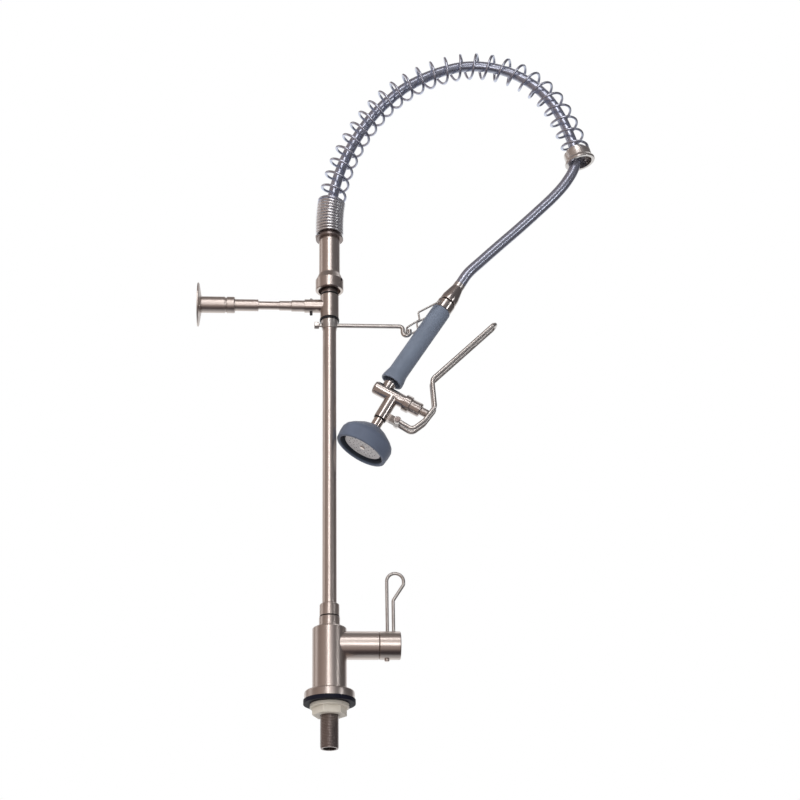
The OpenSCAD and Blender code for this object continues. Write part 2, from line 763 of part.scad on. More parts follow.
module riser_collar() {
    groove_half = o_ring_r + 0.1;
    groove_r = spigot_r - 2 * o_ring_r - run_gap;
    water_r = 4.5;
    color("#9f9993") turned(concat(
        [[water_r, spigot_z], [spigot_r, spigot_z]],
        [for (z = o_ring_at) each [[spigot_r, z - groove_half], [groove_r, z - groove_half],
                                   [groove_r, z + groove_half], [spigot_r, z + groove_half]]],
        [[spigot_r, column_z], [collar_d / 2, column_z], [collar_d / 2, collar_top - 1],
         [collar_d / 2 - 1, collar_top], [riser_r + fix_gap, collar_top], [riser_r + fix_gap, riser_z],
         [water_r, riser_z]]));
}

module swivel_o_rings() {
    color("#202124") for (z = o_ring_at) o_ring(spigot_r - o_ring_r, z, o_ring_r);
}

module riser() {
    color("#aea8a2") tube(riser_z, riser_top, riser_r, riser_bore_d / 2);
}

// Hook

collar_screw_r = 2.4;
collar_screw_head = 5;

module hook_collar() {
    color("#8e8983") difference() {
        turned([[riser_r + fix_gap, hook_collar_z], [hook_collar_low_d / 2, hook_collar_z],
                [hook_collar_top_d / 2, hook_collar_z + hook_collar_h],
                [riser_r + fix_gap, hook_collar_z + hook_collar_h]]);
        translate([riser_r - past, 0, hook_z]) along_x()
            cylinder(h = hook_collar_top_d, r = hook_rod_r + fix_gap);
        translate([-riser_r + past, 0, hook_z]) along_minus_x()
            cylinder(h = hook_collar_top_d, r = collar_screw_r + fix_gap);
    }
}

module collar_screw() {
    color("#77716c") translate([0, 0, hook_z]) along_minus_x() union() {
        translate([0, 0, riser_r]) cylinder(h = 5, r = collar_screw_r);
        translate([0, 0, riser_r + 4.5]) cylinder(h = 6, r = collar_screw_head, $fn = 6);
    }
}

module hook_arm() {
    inner_x = hook_x - hook_bend_r;
    outer_x = hook_x + hook_bend_r;
    low_z = hang_z - hook_bend_r;
    color("#9a948e") bent_rod([
        [riser_r + face_gap, 0, hook_z], [inner_x, 0, hook_z], [inner_x, 0, low_z],
        [outer_x, 0, low_z], [outer_x, 0, hang_z + hook_tip]],
        [4.5, hook_bend_r - 0.05, hook_bend_r - 0.05], hook_rod_r, [0, 1, 0]);
}

// Wall bracket

set_screw_r = 1.8;
set_screw_x = branch_reach - 8.3;
adapter_spigot_r = branch_r - 2.5;
adapter_x0 = 14;
rod_x0 = adapter_x + 9;

module tee_washer() {
    color("#202124") tube(tee_washer_z, tee_washer_z + tee_washer_t, tee_r + 0.5, riser_r + run_gap);
}

module tee() {
    edge = 1;
    color("#a19b95") difference() {
        union() {
            turned([[0, tee_z], [tee_r - edge, tee_z], [tee_r, tee_z + edge], [tee_r, tee_top - edge],
                    [tee_r - edge, tee_top], [0, tee_top]]);
            translate([0, 0, branch_z]) along_minus_x() cylinder(h = branch_reach, r = branch_r);
        }
        translate([0, 0, tee_z - past]) cylinder(h = tee_h + 2 * past, r = riser_r + run_gap);
        translate([-adapter_x0, 0, branch_z]) along_minus_x()
            cylinder(h = branch_reach, r = adapter_spigot_r + fix_gap);
        translate([-set_screw_x, 0, branch_z - branch_r - past])
            cylinder(h = 2 * (branch_r + past), r = set_screw_r + fix_gap);
    }
}

module socket_screws() {
    color("#3a3a3c") translate([-set_screw_x, 0, branch_z]) union() {
        translate([0, 0, adapter_spigot_r]) cylinder(h = 4, r = set_screw_r);
        translate([0, 0, -adapter_spigot_r - 6.5]) cylinder(h = 6.5, r = set_screw_r);
    }
}

module arm_adapter() {
    color("#a8a29c") translate([0, 0, branch_z]) along_minus_x() turned([
        [0, adapter_x0], [adapter_spigot_r, adapter_x0], [adapter_spigot_r, adapter_x],
        [branch_r - 1.4, adapter_x], [branch_r - 1.4, adapter_step], [adapter_neck_r, adapter_step],
        [adapter_neck_r, adapter_end], [arm_rod_r + fix_gap, adapter_end],
        [arm_rod_r + fix_gap, rod_x0], [0, rod_x0]]);
}

module arm_rod() {
    color("#b2aca6") translate([-rod_x0, 0, branch_z]) along_minus_x()
        cylinder(h = rod_end - rod_x0, r = arm_rod_r);
}

module arm_tube() {
    color("#aaa49e") translate([0, 0, branch_z]) along_minus_x()
        tube(tube_start, wall_flange_x, arm_tube_r, arm_rod_r + run_gap);
}

module lock_ring() {
    color("#a59f99") translate([0, 0, branch_z]) along_minus_x() turned([
        [arm_tube_r + run_gap, lock_ring_x], [arm_sleeve_d / 2 - 0.8, lock_ring_x],
        [arm_sleeve_d / 2, lock_ring_x + 0.8], [arm_sleeve_d / 2, lock_ring_x + lock_ring_len],
        [arm_tube_r + run_gap, lock_ring_x + lock_ring_len]]);
}

module arm_sleeve() {
    color("#aca6a0") translate([0, 0, branch_z]) along_minus_x() turned([
        [arm_tube_r + fix_gap, sleeve_start], [arm_sleeve_d / 2 - 0.9, sleeve_start],
        [arm_sleeve_d / 2 - 0.9, sleeve_start + sleeve_groove],
        [arm_sleeve_d / 2, sleeve_start + sleeve_groove], [arm_sleeve_d / 2, wall_flange_x],
        [arm_tube_r + fix_gap, wall_flange_x]]);
}

// The disc is dished: its back lies flat on the wall
module wall_flange() {
    r = wall_flange_d / 2;
    color("#a19b95") translate([0, 0, branch_z]) along_minus_x() difference() {
        turned([[0, wall_flange_x], [arm_sleeve_d / 2 + 1, wall_flange_x],
                [r - 1.5, wall_reach - 2.2], [r, wall_reach - 1.4], [r, wall_reach], [0, wall_reach]]);
        for (a = [0, 120, 240]) rotate([0, 0, a])
            translate([wall_pcd / 2, 0, wall_flange_x - past])
                cylinder(h = wall_flange_t + 2 * past, d = 5);
    }
}

// Hose head

module top_seal() {
    color("#202124") tube(top_seal_z, adapter_z, tee_r - 0.2, riser_r + run_gap);
}

module hose_adapter() {
    color("#8f8a85") turned([
        [riser_r + fix_gap, adapter_z], [adapter_r, adapter_z], [adapter_r, clamp_z],
        [clamp_r, clamp_z], [clamp_r, clamp_top], [adapter_r, clamp_top], [adapter_r, adapter_top],
        [riser_bore_d / 2, adapter_top], [riser_bore_d / 2, riser_top],
        [riser_r + fix_gap, riser_top]]);
}

coupling_screw_r = 2;
coupling_screw_turn = -32;
coupling_screw_z = riser_top - 1;

module coupling_nut() {
    shoulder_z = clamp_top + sleeve_flange_t;
    outer = coupling_d / 2;
    color("#a39d97") difference() {
        turned([[clamp_r + run_gap, coupling_z], [outer - 0.8, coupling_z], [outer, coupling_z + 0.8],
                [outer, coupling_top - 0.6], [outer - 0.6, coupling_top],
                [sleeve_r + 0.5, coupling_top + coupling_cone_h],
                [sleeve_r + fix_gap, coupling_top + coupling_cone_h],
                [sleeve_r + fix_gap, shoulder_z], [clamp_r + run_gap, shoulder_z]]);
        translate([0, 0, coupling_screw_z]) rotate([0, 0, coupling_screw_turn]) along_x()
            cylinder(h = coupling_d, r = coupling_screw_r + fix_gap);
    }
}

module coupling_screw() {
    color("#26262a") translate([0, 0, coupling_screw_z]) rotate([0, 0, coupling_screw_turn])
        along_x() translate([0, 0, clamp_r])
            cylinder(h = coupling_d / 2 - clamp_r - 0.4, r = coupling_screw_r);
}

module upper_sleeve() {
    bore = sleeve_r - 2.2;
    color("#a7a19b") turned([
        [bore, clamp_top], [clamp_r, clamp_top], [clamp_r, clamp_top + sleeve_flange_t],
        [sleeve_r, clamp_top + sleeve_flange_t], [sleeve_r, sleeve_top], [bore, sleeve_top]]);
}

// The seat stands on the sleeve, and its spigot keeps the spring's foot in line
module spring_seat() {
    plug_r = sleeve_r - 2.2 - fix_gap;
    spigot = spring_bore_r - 0.5;
    color("#99938d") turned([
        [seat_bore_r, sleeve_top - 16], [plug_r, sleeve_top - 16], [plug_r, sleeve_top],
        [seat_flange_d / 2, sleeve_top], [seat_flange_d / 2, seat_top], [spigot, seat_top],
        [spigot, seat_top + foot_len], [seat_bore_r, seat_top + foot_len]]);
}

module hose_connector() {
    color("#b3a27c") difference() {
        union() {
            translate([0, 0, adapter_top]) cylinder(h = 10, r = sleeve_r - 3.4, $fn = 6);
            translate([0, 0, adapter_top]) cylinder(h = connector_top - adapter_top, r = hose_r + 0.8);
        }
        translate([0, 0, adapter_top - past])
            cylinder(h = connector_top - adapter_top + 2 * past, r = 4.5);
    }
}

// Spring and hose

module spring() {
    color("#656a76") swept(spring_points, spring_outs, wire_r, 6);
}

module spring_end_ring() {
    lip = end_ring_lip_d / 2;
    mouth = end_ring_mouth_d / 2;
    top_bore = seat_bore_r + 2;
    outer = spring_d / 2;
    spigot = spring_bore_r - 0.5;
    color("#5b5f6a") at_arch_end() turned([
        [top_bore, -5], [spigot, -5], [spigot, 0], [outer, 0], [outer, 0.6 * end_ring_h],
        [lip, end_ring_h - 2.5], [lip, end_ring_h - 0.8], [lip - 0.8, end_ring_h],
        [mouth, end_ring_h], [mouth, 3], [top_bore, 3]]);
}

module hose() {
    color("#77808c") swept([for (p = hose_route) [p[0], 0, p[1]]],
                           [for (p = hose_route) [0, 1, 0]], hose_r, 12);
}

// Handle

module hose_ferrule() {
    color("#9a958f") in_handle() turned([
        [3, handle_tube_top], [nut_thread_r - 0.6, handle_tube_top],
        [nut_thread_r - 0.6, handle_tube_top + tail_flange_t], [tail_r, handle_tube_top + tail_flange_t],
        [tail_r, swivel_nut_top], [ferrule_r, swivel_nut_top], [ferrule_r, handle_end], [3, handle_end]]);
}

module swivel_nut() {
    low = handle_seal_top + face_gap;
    high = swivel_nut_top - face_gap;
    shoulder = handle_tube_top + tail_flange_t + face_gap;
    outer = swivel_nut_d / 2;
    color("#8d8883") in_handle() turned([
        [handle_tube_r + run_gap, low], [outer - 0.6, low], [outer, low + 0.6],
        [outer, low + 0.28 * swivel_nut_h], [ferrule_r + 0.2, high], [tail_r + run_gap, high],
        [tail_r + run_gap, shoulder], [handle_tube_r + run_gap, shoulder]]);
}

module gun_seals() {
    color("#202124") union() {
        in_handle() tube(handle_collar_top, handle_seal_top, swivel_nut_d / 2 - 1, handle_tube_r + 0.1);
        in_gun() tube(spray_neck_z, -outlet_len, outlet_r - 0.7, outlet_thread_r + 0.1);
    }
}

module handle_collar() {
    outer = handle_collar_d / 2;
    color("#8c8883") difference() {
        in_handle() turned([
            [handle_tube_r + fix_gap, grip_end], [outer - 0.6, grip_end], [outer, grip_end + 0.6],
            [outer, handle_collar_top - 0.6], [outer - 0.6, handle_collar_top],
            [handle_tube_r + fix_gap, handle_collar_top]]);
        for (side = [-1, 1])
            at_hook() translate([bail_hole[0], side * bail_end_y, bail_hole[1]])
                rotate([-side * 90, 0, 0]) cylinder(h = outer, r = bail_wire_r + fix_gap);
    }
}

module handle_tube() {
    color("#a39d97") in_handle() tube(tube_foot, handle_tube_top, handle_tube_r, port_r);
}

// The grip flares at its foot, where it is open round the tube
module grip() {
    outer = grip_d / 2;
    flare = grip_flare_d / 2;
    waist_z = grip_start + grip_flare_len;
    color("#5f6c8c") in_handle() turned(concat(
        [[handle_tube_r + fix_gap, waist_z - 2], [outer - 0.3, waist_z - 2], [flare - 2.5, grip_start],
         [flare - 0.6, grip_start], [flare, grip_start + 0.6]],
        [for (t = [1:4]) [outer + (flare - outer) * (1 + cos(45 * t)) / 2,
                          grip_start + 1.5 + (grip_flare_len - 1.5) * t / 4]],
        [[outer, grip_end - 1.5], [outer - 1.5, grip_end], [handle_tube_r + fix_gap, grip_end]]));
}

// Hanger bail: both ends lie in the collar's holes, and a round sleeve on the middle hangs
// in the hook
bail_end_y = 6.5;
module hanger_bail() {
    side = bail_w / 2;
    legs = [for (p = bail_path) [p[0], side, p[1]]];
    half = concat(legs, [[bail_hole[0], bail_end_y, bail_hole[1]]]);
    n = len(half);
    other = [for (i = [n - 1:-1:0]) [half[i][0], -half[i][1], half[i][2]]];
    bends = [for (i = [1:2 * n - 2]) 2.5];
    sleeve = bail_w - 6;
    color("#8a8580") at_hook() union() {
        bent_rod(concat(other, half), bends, bail_wire_r, [1, 0, 0]);
        translate([0, sleeve / 2, 0]) rotate([90, 0, 0]) cylinder(h = sleeve, r = bail_wire_r + fix_gap);
    }
}

// Spray valve

tube_foot = 9;
boss_top = 13;
boss_r = handle_tube_r + 1.8;
seat_t = 2;
outlet_thread_r = 5;
outlet_thread_len = 8;
front_chamber_r = plunger_r + 0.25;

module spray_valve_body() {
    tab_w = eye_r;
    color("#7f8187") difference() {
        union() {
            in_gun() translate([-gun_barrel_back, 0, 0]) along_x() turned([
                [0, 0], [gun_barrel_r - 3, 0], [gun_barrel_r - 0.9, 0.9], [gun_barrel_r, 3],
                [gun_barrel_r, gun_barrel_back + gun_barrel_front],
                [0, gun_barrel_back + gun_barrel_front]]);
            in_gun() translate([0, 0, -outlet_len]) cylinder(h = outlet_len, r = outlet_r);
            in_gun() translate([0, -tab_half, pin_at[1] - tab_w])
                cube([pin_at[0], 2 * tab_half, 2 * tab_w]);
            in_gun() translate([pin_at[0], tab_half, pin_at[1]]) rotate([90, 0, 0])
                cylinder(h = 2 * tab_half, r = tab_w);
            in_handle() cylinder(h = boss_top, r = boss_r);
        }
        in_gun() translate([return_spring_x, 0, 0]) along_x()
            cylinder(h = seat_x - return_spring_x, r = front_chamber_r);
        in_gun() translate([seat_x, 0, 0]) along_x() cylinder(h = seat_t, r = 3.5);
        in_gun() translate([seat_x + seat_t, 0, 0]) along_x()
            cylinder(h = bonnet_thread_x - seat_x - seat_t, r = front_chamber_r);
        in_gun() translate([bonnet_thread_x, 0, 0]) along_x()
            cylinder(h = gun_barrel_front - bonnet_thread_x + past, r = bonnet_thread_r);
        in_gun() translate([0, 0, -outlet_len - past]) cylinder(h = outlet_len + past, r = 3.5);
        in_gun() translate([0, 0, -outlet_len - past])
            cylinder(h = outlet_thread_len + past, r = outlet_thread_r);
        in_handle() cylinder(h = tube_foot + past, r = port_r);
        in_handle() translate([0, 0, tube_foot])
            cylinder(h = boss_top - tube_foot + past, r = handle_tube_r + fix_gap);
        in_gun() translate([pin_at[0], tab_half + past, pin_at[1]]) rotate([90, 0, 0])
            cylinder(h = 2 * (tab_half + past), r = lever_pin_r + fix_gap);
    }
}

// The return spring pushes the washer shut: five turns, straight at both ends
return_wire_d = 0.8;
return_coil_r = 3.3;
return_turns = 5;
return_len = seat_x - run_gap - seat_washer_t - return_spring_x;
return_pitch = (return_len - 2 * return_wire_d) / return_turns;
return_steps = concat([[0, 0]],
    [for (i = [0:return_turns * 8]) [return_wire_d + i * return_pitch / 8, i * 45]],
    [[return_len, return_turns * 360]]);
return_points = [for (p = return_steps)
    [return_spring_x + p[0], return_coil_r * cos(p[1]), return_coil_r * sin(p[1])]];
return_gap = min([for (i = [0:len(return_points) - 7], j = [i + 6:len(return_points) - 1])
    norm(return_points[i] - return_points[j])]) - return_wire_d;
echo(return_spring_least_gap = return_gap);

module return_spring() {
    color("#b8b8b8") in_gun()
        swept(return_points, [for (p = return_steps) [0, cos(p[1]), sin(p[1])]],
              return_wire_d / 2, 6);
}

plunger_x0 = 12.5;

module plunger() {
    color("#b9b4ae") in_gun() along_x() turned([
        [0, seat_x - run_gap - seat_washer_t], [stem_r, seat_x - run_gap - seat_washer_t],
        [stem_r, plunger_x0], [plunger_r, plunger_x0], [plunger_r, plunger_end - 1],
        [plunger_r - 1, plunger_end], [0, plunger_end]]);
}

module seat_washer() {
    color("#1c1c1e") in_gun() along_x()
        tube(seat_x - run_gap - seat_washer_t, seat_x - run_gap, plunger_r - 0.25, stem_r + fix_gap);
}

module bonnet() {
    ring = bonnet_ring_d / 2;
    bore = plunger_r + run_gap;
    color("#7d7f86") in_gun() along_x() turned([
        [bore, bonnet_thread_x], [bonnet_thread_r - fix_gap, bonnet_thread_x],
        [bonnet_thread_r - fix_gap, bonnet_x], [ring - 0.6, bonnet_x], [ring, bonnet_x + 0.6],
        [ring, bonnet_x + bonnet_ring_len - 0.6], [ring - 0.6, bonnet_x + bonnet_ring_len],
        [bonnet_r, bonnet_x + bonnet_ring_len], [bonnet_r, bonnet_end - 2],
        [bonnet_r - 0.6, bonnet_end - 0.6], [bonnet_r - 2, bonnet_end], [bore, bonnet_end]]);
}

// Squeeze lever: one rod bent double round its tip, with an eye at each end
module squeeze_lever() {
    side = squeeze_w / 2;
    rod_r = squeeze_rod_d / 2;
    half = [for (p = squeeze_path) [p[0], side, p[1]]];
    n = len(half);
    other = [for (i = [0:n - 1]) [half[i][0], -half[i][1], half[i][2]]];
    back = [for (i = [n - 1:-1:0]) half[i]];
    turn_back = [for (i = [len(squeeze_bends) - 1:-1:0]) squeeze_bends[i]];
    color("#8b8d94") in_gun() difference() {
        union() {
            bent_rod(concat(other, back),
                concat(squeeze_bends, [side - 0.25, side - 0.25], turn_back), rod_r, [0, 1, 0]);
            for (y = [-side, side]) translate([pin_at[0], y + rod_r, pin_at[1]])
                rotate([90, 0, 0]) cylinder(h = squeeze_rod_d, r = eye_r);
        }
        translate([pin_at[0], side + rod_r + past, pin_at[1]]) rotate([90, 0, 0])
            cylinder(h = squeeze_w + squeeze_rod_d + 2 * past, r = lever_pin_r + run_gap);
    }
}

module lever_pin() {
    eye_y = squeeze_w / 2 + squeeze_rod_d / 2 + face_gap;
    head_t = 1.2;
    color("#a5a09a") in_gun() translate([pin_at[0], 0, pin_at[1]]) rotate([90, 0, 0]) union() {
        translate([0, 0, -eye_y]) cylinder(h = 2 * eye_y, r = lever_pin_r);
        for (z = [-eye_y - head_t, eye_y]) translate([0, 0, z])
            cylinder(h = head_t, r = lever_pin_r + 1.2);
    }
}

// Spray head

cup_thread_len = 7;

module spray_neck() {
    lip_t = 0.8;
    color("#a19b95") in_gun() turned([
        [3, cup_z - cup_thread_len], [outlet_thread_r - fix_gap, cup_z - cup_thread_len],
        [outlet_thread_r - fix_gap, cup_z], [spray_neck_r, cup_z], [spray_neck_r, bumper_z],
        [spray_neck_r + 1.5, bumper_z], [spray_neck_r + 1.5, bumper_z + lip_t],
        [spray_neck_r, bumper_z + lip_t], [spray_neck_r, spray_neck_z],
        [outlet_thread_r - fix_gap, spray_neck_z],
        [outlet_thread_r - fix_gap, -outlet_len + outlet_thread_len - 0.5],
        [3, -outlet_len + outlet_thread_len - 0.5]]);
}

// The cup spreads the water behind the face: it leaves the hub by four side ports
module spray_cup() {
    cup_end = face_z + face_t;
    port_z = cup_z - cup_thread_len - 2;
    color("#5a5d66") in_gun() difference() {
        turned([[0, cup_z], [spray_face_r - cup_chamfer, cup_z],
                [spray_face_r, cup_z - cup_chamfer], [spray_face_r, cup_end], [0, cup_end]]);
        difference() {
            turned([[0, cup_z - cup_wall], [spray_face_r - cup_chamfer - cup_wall, cup_z - cup_wall],
                    [spray_face_r - cup_wall, cup_z - cup_chamfer - cup_wall],
                    [spray_face_r - cup_wall, cup_end - past], [0, cup_end - past]]);
            translate([0, 0, cup_end - 2 * past]) cylinder(h = cup_z - cup_end + 3 * past, r = hub_boss_r);
        }
        translate([0, 0, cup_z - cup_thread_len]) cylinder(h = cup_thread_len + past, r = outlet_thread_r);
        translate([0, 0, port_z - 1.5]) cylinder(h = 4, r = 3);
        for (a = [0, 90]) translate([0, 0, port_z]) rotate([0, 90, a])
            translate([0, 0, -hub_boss_r - past]) cylinder(h = 2 * (hub_boss_r + past), r = 1.4);
        translate([0, 0, cup_end - past]) cylinder(h = 4.5 + past, r = face_screw_r + fix_gap);
    }
}

module bumper() {
    hole = spray_neck_r + fix_gap;
    seat = spray_face_r + fix_gap;
    roof = cup_z + fix_gap;
    color("#4d5668") in_gun() turned([
        [hole, bumper_z], [spray_neck_r + 2, bumper_z], [bumper_r - bumper_slope_w, bumper_z - 5],
        [bumper_r - 6, bumper_z - 12], [bumper_r - 1.7, bumper_z - 16.3],
        [bumper_r, bumper_z - bumper_side_from], [bumper_r, bumper_z - bumper_side_to],
        [bumper_rim[0], -bumper_rim[1]], [bumper_r - 2.2, rim_z], [lip_r + 0.5, rim_z],
        [lip_r, rim_z + 0.5], [lip_r, groove_floor], [seat, groove_floor],
        [seat, cup_z - cup_chamfer], [seat - cup_chamfer, roof], [hole, roof]]);
}

// Rings of spray holes: [radius, number of holes]
hole_rings = [[8, 8], [13, 14], [18, 20]];
face_screw_r = 1.5;

module spray_face() {
    color("#b9b9bb") in_gun() difference() {
        translate([0, 0, face_z]) cylinder(h = face_t, r = spray_face_r);
        for (ring = hole_rings, i = [0:ring[1] - 1]) rotate([0, 0, i * 360 / ring[1]])
            translate([ring[0], 0, face_z - past]) cylinder(h = face_t + 2 * past, d = spray_hole_d);
        translate([0, 0, face_z - past]) cylinder(h = face_t + 2 * past, r = face_screw_r + fix_gap);
    }
}

module face_screw() {
    head_t = 1.6;
    color("#8a8a8e") in_gun() union() {
        translate([0, 0, face_z]) cylinder(h = face_t + 4, r = face_screw_r);
        translate([0, 0, face_z - head_t]) cylinder(h = head_t, r = 3.2);
    }
}

shank();
mounting_nut();
deck_gasket();
base_flange();
valve_body();
seat_seal();
cartridge_body();
fixed_disc();
moving_disc();
spindle();
cartridge_nut();
lever_hub();
lever_wire();
hub_screw();
swivel_neck();
collar_seal();
riser_collar();
swivel_o_rings();
riser();
hook_collar();
collar_screw();
hook_arm();
tee_washer();
tee();
socket_screws();
arm_adapter();
arm_rod();
arm_tube();
lock_ring();
arm_sleeve();
wall_flange();
top_seal();
hose_adapter();
coupling_nut();
coupling_screw();
upper_sleeve();
spring_seat();
hose_connector();
spring();
spring_end_ring();
hose();
hose_ferrule();
swivel_nut();
gun_seals();
handle_collar();
handle_tube();
grip();
hanger_bail();
spray_valve_body();
return_spring();
plunger();
seat_washer();
bonnet();
squeeze_lever();
lever_pin();
spray_neck();
spray_cup();
bumper();
spray_face();
face_screw();
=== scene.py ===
"""Dresses a deck-mounted pre-rinse faucet: smooth wires and springs, a braided hose, turned
and deburred metal, a rubber grip and bumper, a threaded shank, and a studio round it.
Lengths are in metres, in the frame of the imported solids."""

import json
import math

import bmesh
import bpy
from bpy.props import FloatProperty, FloatVectorProperty, IntProperty, PointerProperty
from mathutils import Matrix, Vector

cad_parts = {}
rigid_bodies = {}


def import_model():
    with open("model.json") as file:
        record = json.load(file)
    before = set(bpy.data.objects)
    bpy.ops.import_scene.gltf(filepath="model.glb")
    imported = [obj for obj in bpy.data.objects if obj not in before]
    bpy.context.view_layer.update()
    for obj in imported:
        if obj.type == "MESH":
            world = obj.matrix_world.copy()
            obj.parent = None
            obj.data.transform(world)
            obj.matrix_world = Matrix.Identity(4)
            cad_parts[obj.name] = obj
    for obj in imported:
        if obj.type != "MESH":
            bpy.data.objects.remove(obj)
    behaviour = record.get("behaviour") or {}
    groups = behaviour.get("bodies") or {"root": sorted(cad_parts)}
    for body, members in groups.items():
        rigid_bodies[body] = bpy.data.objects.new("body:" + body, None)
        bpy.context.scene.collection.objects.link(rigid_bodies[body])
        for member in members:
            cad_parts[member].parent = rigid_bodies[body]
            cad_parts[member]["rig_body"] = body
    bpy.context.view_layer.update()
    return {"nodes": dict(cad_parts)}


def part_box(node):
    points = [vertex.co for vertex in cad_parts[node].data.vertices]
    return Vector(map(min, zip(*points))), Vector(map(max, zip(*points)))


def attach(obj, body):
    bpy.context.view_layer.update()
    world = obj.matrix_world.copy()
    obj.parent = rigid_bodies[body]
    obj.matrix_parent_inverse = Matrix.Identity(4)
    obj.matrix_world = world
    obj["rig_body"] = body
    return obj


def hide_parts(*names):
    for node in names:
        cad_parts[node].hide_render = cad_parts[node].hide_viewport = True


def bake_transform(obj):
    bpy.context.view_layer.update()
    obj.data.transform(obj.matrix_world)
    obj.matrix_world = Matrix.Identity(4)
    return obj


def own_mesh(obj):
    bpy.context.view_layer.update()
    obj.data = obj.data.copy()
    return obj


bl_info = {
    "name": "Pre-rinse Faucet",
    "version": (1, 0, 0),
    "blender": (4, 5, 0),
    "location": "View3D > Sidebar > Faucet",
    "description": "Builds the detailed pieces of a pre-rinse faucet round its packed solids",
    "category": "Object",
}

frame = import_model()

MM = 0.001


# Places. Every axis of the faucet lies in the XZ plane, so a place is a point and a turn
# about Y that carries Z to the piece's own axis

def place(x, z, degrees):
    """The frame of a piece at (x, z), in millimetres, whose axis leans by degrees from Z to X"""
    return Matrix.Translation((x * MM, 0, z * MM)) @ Matrix.Rotation(math.radians(degrees), 4, "Y")


GUN_TILT = 29.5
HANDLE_LEAN = 3.4
HANDLE_BACK = 12.4
HOOK_AT = (96.026, 475.3)
GUN_AT = (78.593, 386.813)
BARREL_Z = 69.5
BRANCH_Z = 510.486

UPRIGHT = place(0, 0, 0)
BASE_BARREL = place(0, BARREL_Z, 90)
WALL_ARM = place(0, BRANCH_Z, -90)
HOOK = place(*HOOK_AT, 0)
GUN = place(*GUN_AT, GUN_TILT)
GUN_BARREL = place(*GUN_AT, GUN_TILT + 90)
HANDLE = GUN @ place(-HANDLE_BACK, 0, HANDLE_LEAN)

# The camera's place in metres, and its azimuth, pitch and roll in degrees
CAMERA_AT = (-0.05387, -2.01014, -0.536)
CAMERA_TURN = (4, 24.5, -1.0227)
# The point that every lamp faces
FAUCET_MIDDLE = Vector((0.12, 0, 0.42))

# Routes, bends and radii, in millimetres

# The hose's centre line in the XZ plane, up through the spring, over and down to the gun
HOSE_ROUTE = (
    (0, 600), (0, 623), (1, 646), (6, 678), (14, 709), (25, 738), (39, 766), (56, 793),
    (76, 817), (99, 839), (125, 856), (153, 869), (182, 877), (213, 877), (243, 869),
    (270, 853), (292, 830), (307, 803), (318, 773), (324, 748), (323, 724), (311, 700),
    (293, 677), (268, 651), (243, 626), (218, 602), (194, 578.5), (176.5, 560.8),
    (165.62, 544.12))
# Where the spring's end ring hides the joint between the hose's two lengths
HOSE_IN_RING = (323, 724)
HOSE_SIDES = 24
# The arch leaves the seat upright at this height, after a straight foot
SEAT_TOP = 608
ARCH_FOOT = 16
# Radius and angle of each bend of the arch, in turn
ARCH_BENDS = ((250, 6), (300, 32), (205, 34), (117, 84), (390, 10))

HOOK_WIRE = ((8.8, 483.5), (91.726, 483.5), (91.726, 471), (100.326, 471), (100.326, 479))
HOOK_WIRE_BENDS = (4.5, 4.25, 4.25)
HOOK_RADIUS = 2.75
LEVER_WIRE = ((67.2, 76), (67.2, 157.4), (87, 157.4), (87, 143.8), (74.4, 124), (74.4, 76))
LEVER_WIRE_BENDS = (9.85, 9.85, 5, 5)
LEVER_WIRE_RADIUS = 2
# The bail is measured in the frame HOOK, and the squeeze lever in the frame GUN
BAIL_HOLE = (43.5, 38.2)
BAIL_LEG = ((0, 0), (10, 6.9), (16, 10.7), (14.5, 21.2), BAIL_HOLE)
BAIL_HALF_WIDTH = 14
BAIL_END_Y = 6.5
BAIL_BEND = 2.5
BAIL_RADIUS = 1.2
LEVER_PIN = (20.5, -28.2)
SQUEEZE_PATH = (
    LEVER_PIN, (42.2, -29.6), (49.3, -12.2), (51.9, 10.8), (31.3, 42.1), (63.5, 150.9))
SQUEEZE_BENDS = (7.5, 14, 8, 9)
SQUEEZE_HALF_WIDTH = 6.5
SQUEEZE_RADIUS = 2.75
EYE_RADIUS = 4.5
PIN_HOLE_RADIUS = 2.05

# The shank, in millimetres: heights from its foot to its head, and radii
SHANK_FOOT, THREAD_STEP, THREAD_TOP, SHANK_TOP = -51, -13.5, 4, 30
LOWER_THREAD, UPPER_THREAD, SHANK_BORE = 10.48, 11.0, 7.7
THREAD_PITCH = 1.814
THREAD_DEPTH = 0.4


# Shader maths

def both_ways(operation):
    """A signal's operator, and its twin for a number on the left"""
    return (lambda self, other: self.maths(operation, self, other),
            lambda self, other: self.maths(operation, other, self))


class Signal:
    """A socket in a finish: sums and products of signals and numbers add Math nodes"""

    def __init__(self, finish, socket):
        self.finish = finish
        self.socket = socket

    def maths(self, operation, first, second=0.0):
        """The result of one Math node"""
        return self.finish.node("ShaderNodeMath", {"operation": operation}, {0: first, 1: second})

    __add__, __radd__ = both_ways("ADD")
    __sub__, __rsub__ = both_ways("SUBTRACT")
    __mul__, __rmul__ = both_ways("MULTIPLY")

    def sine(self):
        return self.maths("SINE", self)

    def size(self):
        return self.maths("ABSOLUTE", self)

    def rise(self, low, high):
        """0 below low and 1 above high, smooth between"""
        return self.finish.node(
            "ShaderNodeMapRange", {"interpolation_type": "SMOOTHSTEP"},
            {"Value": self, "From Min": low, "From Max": high})


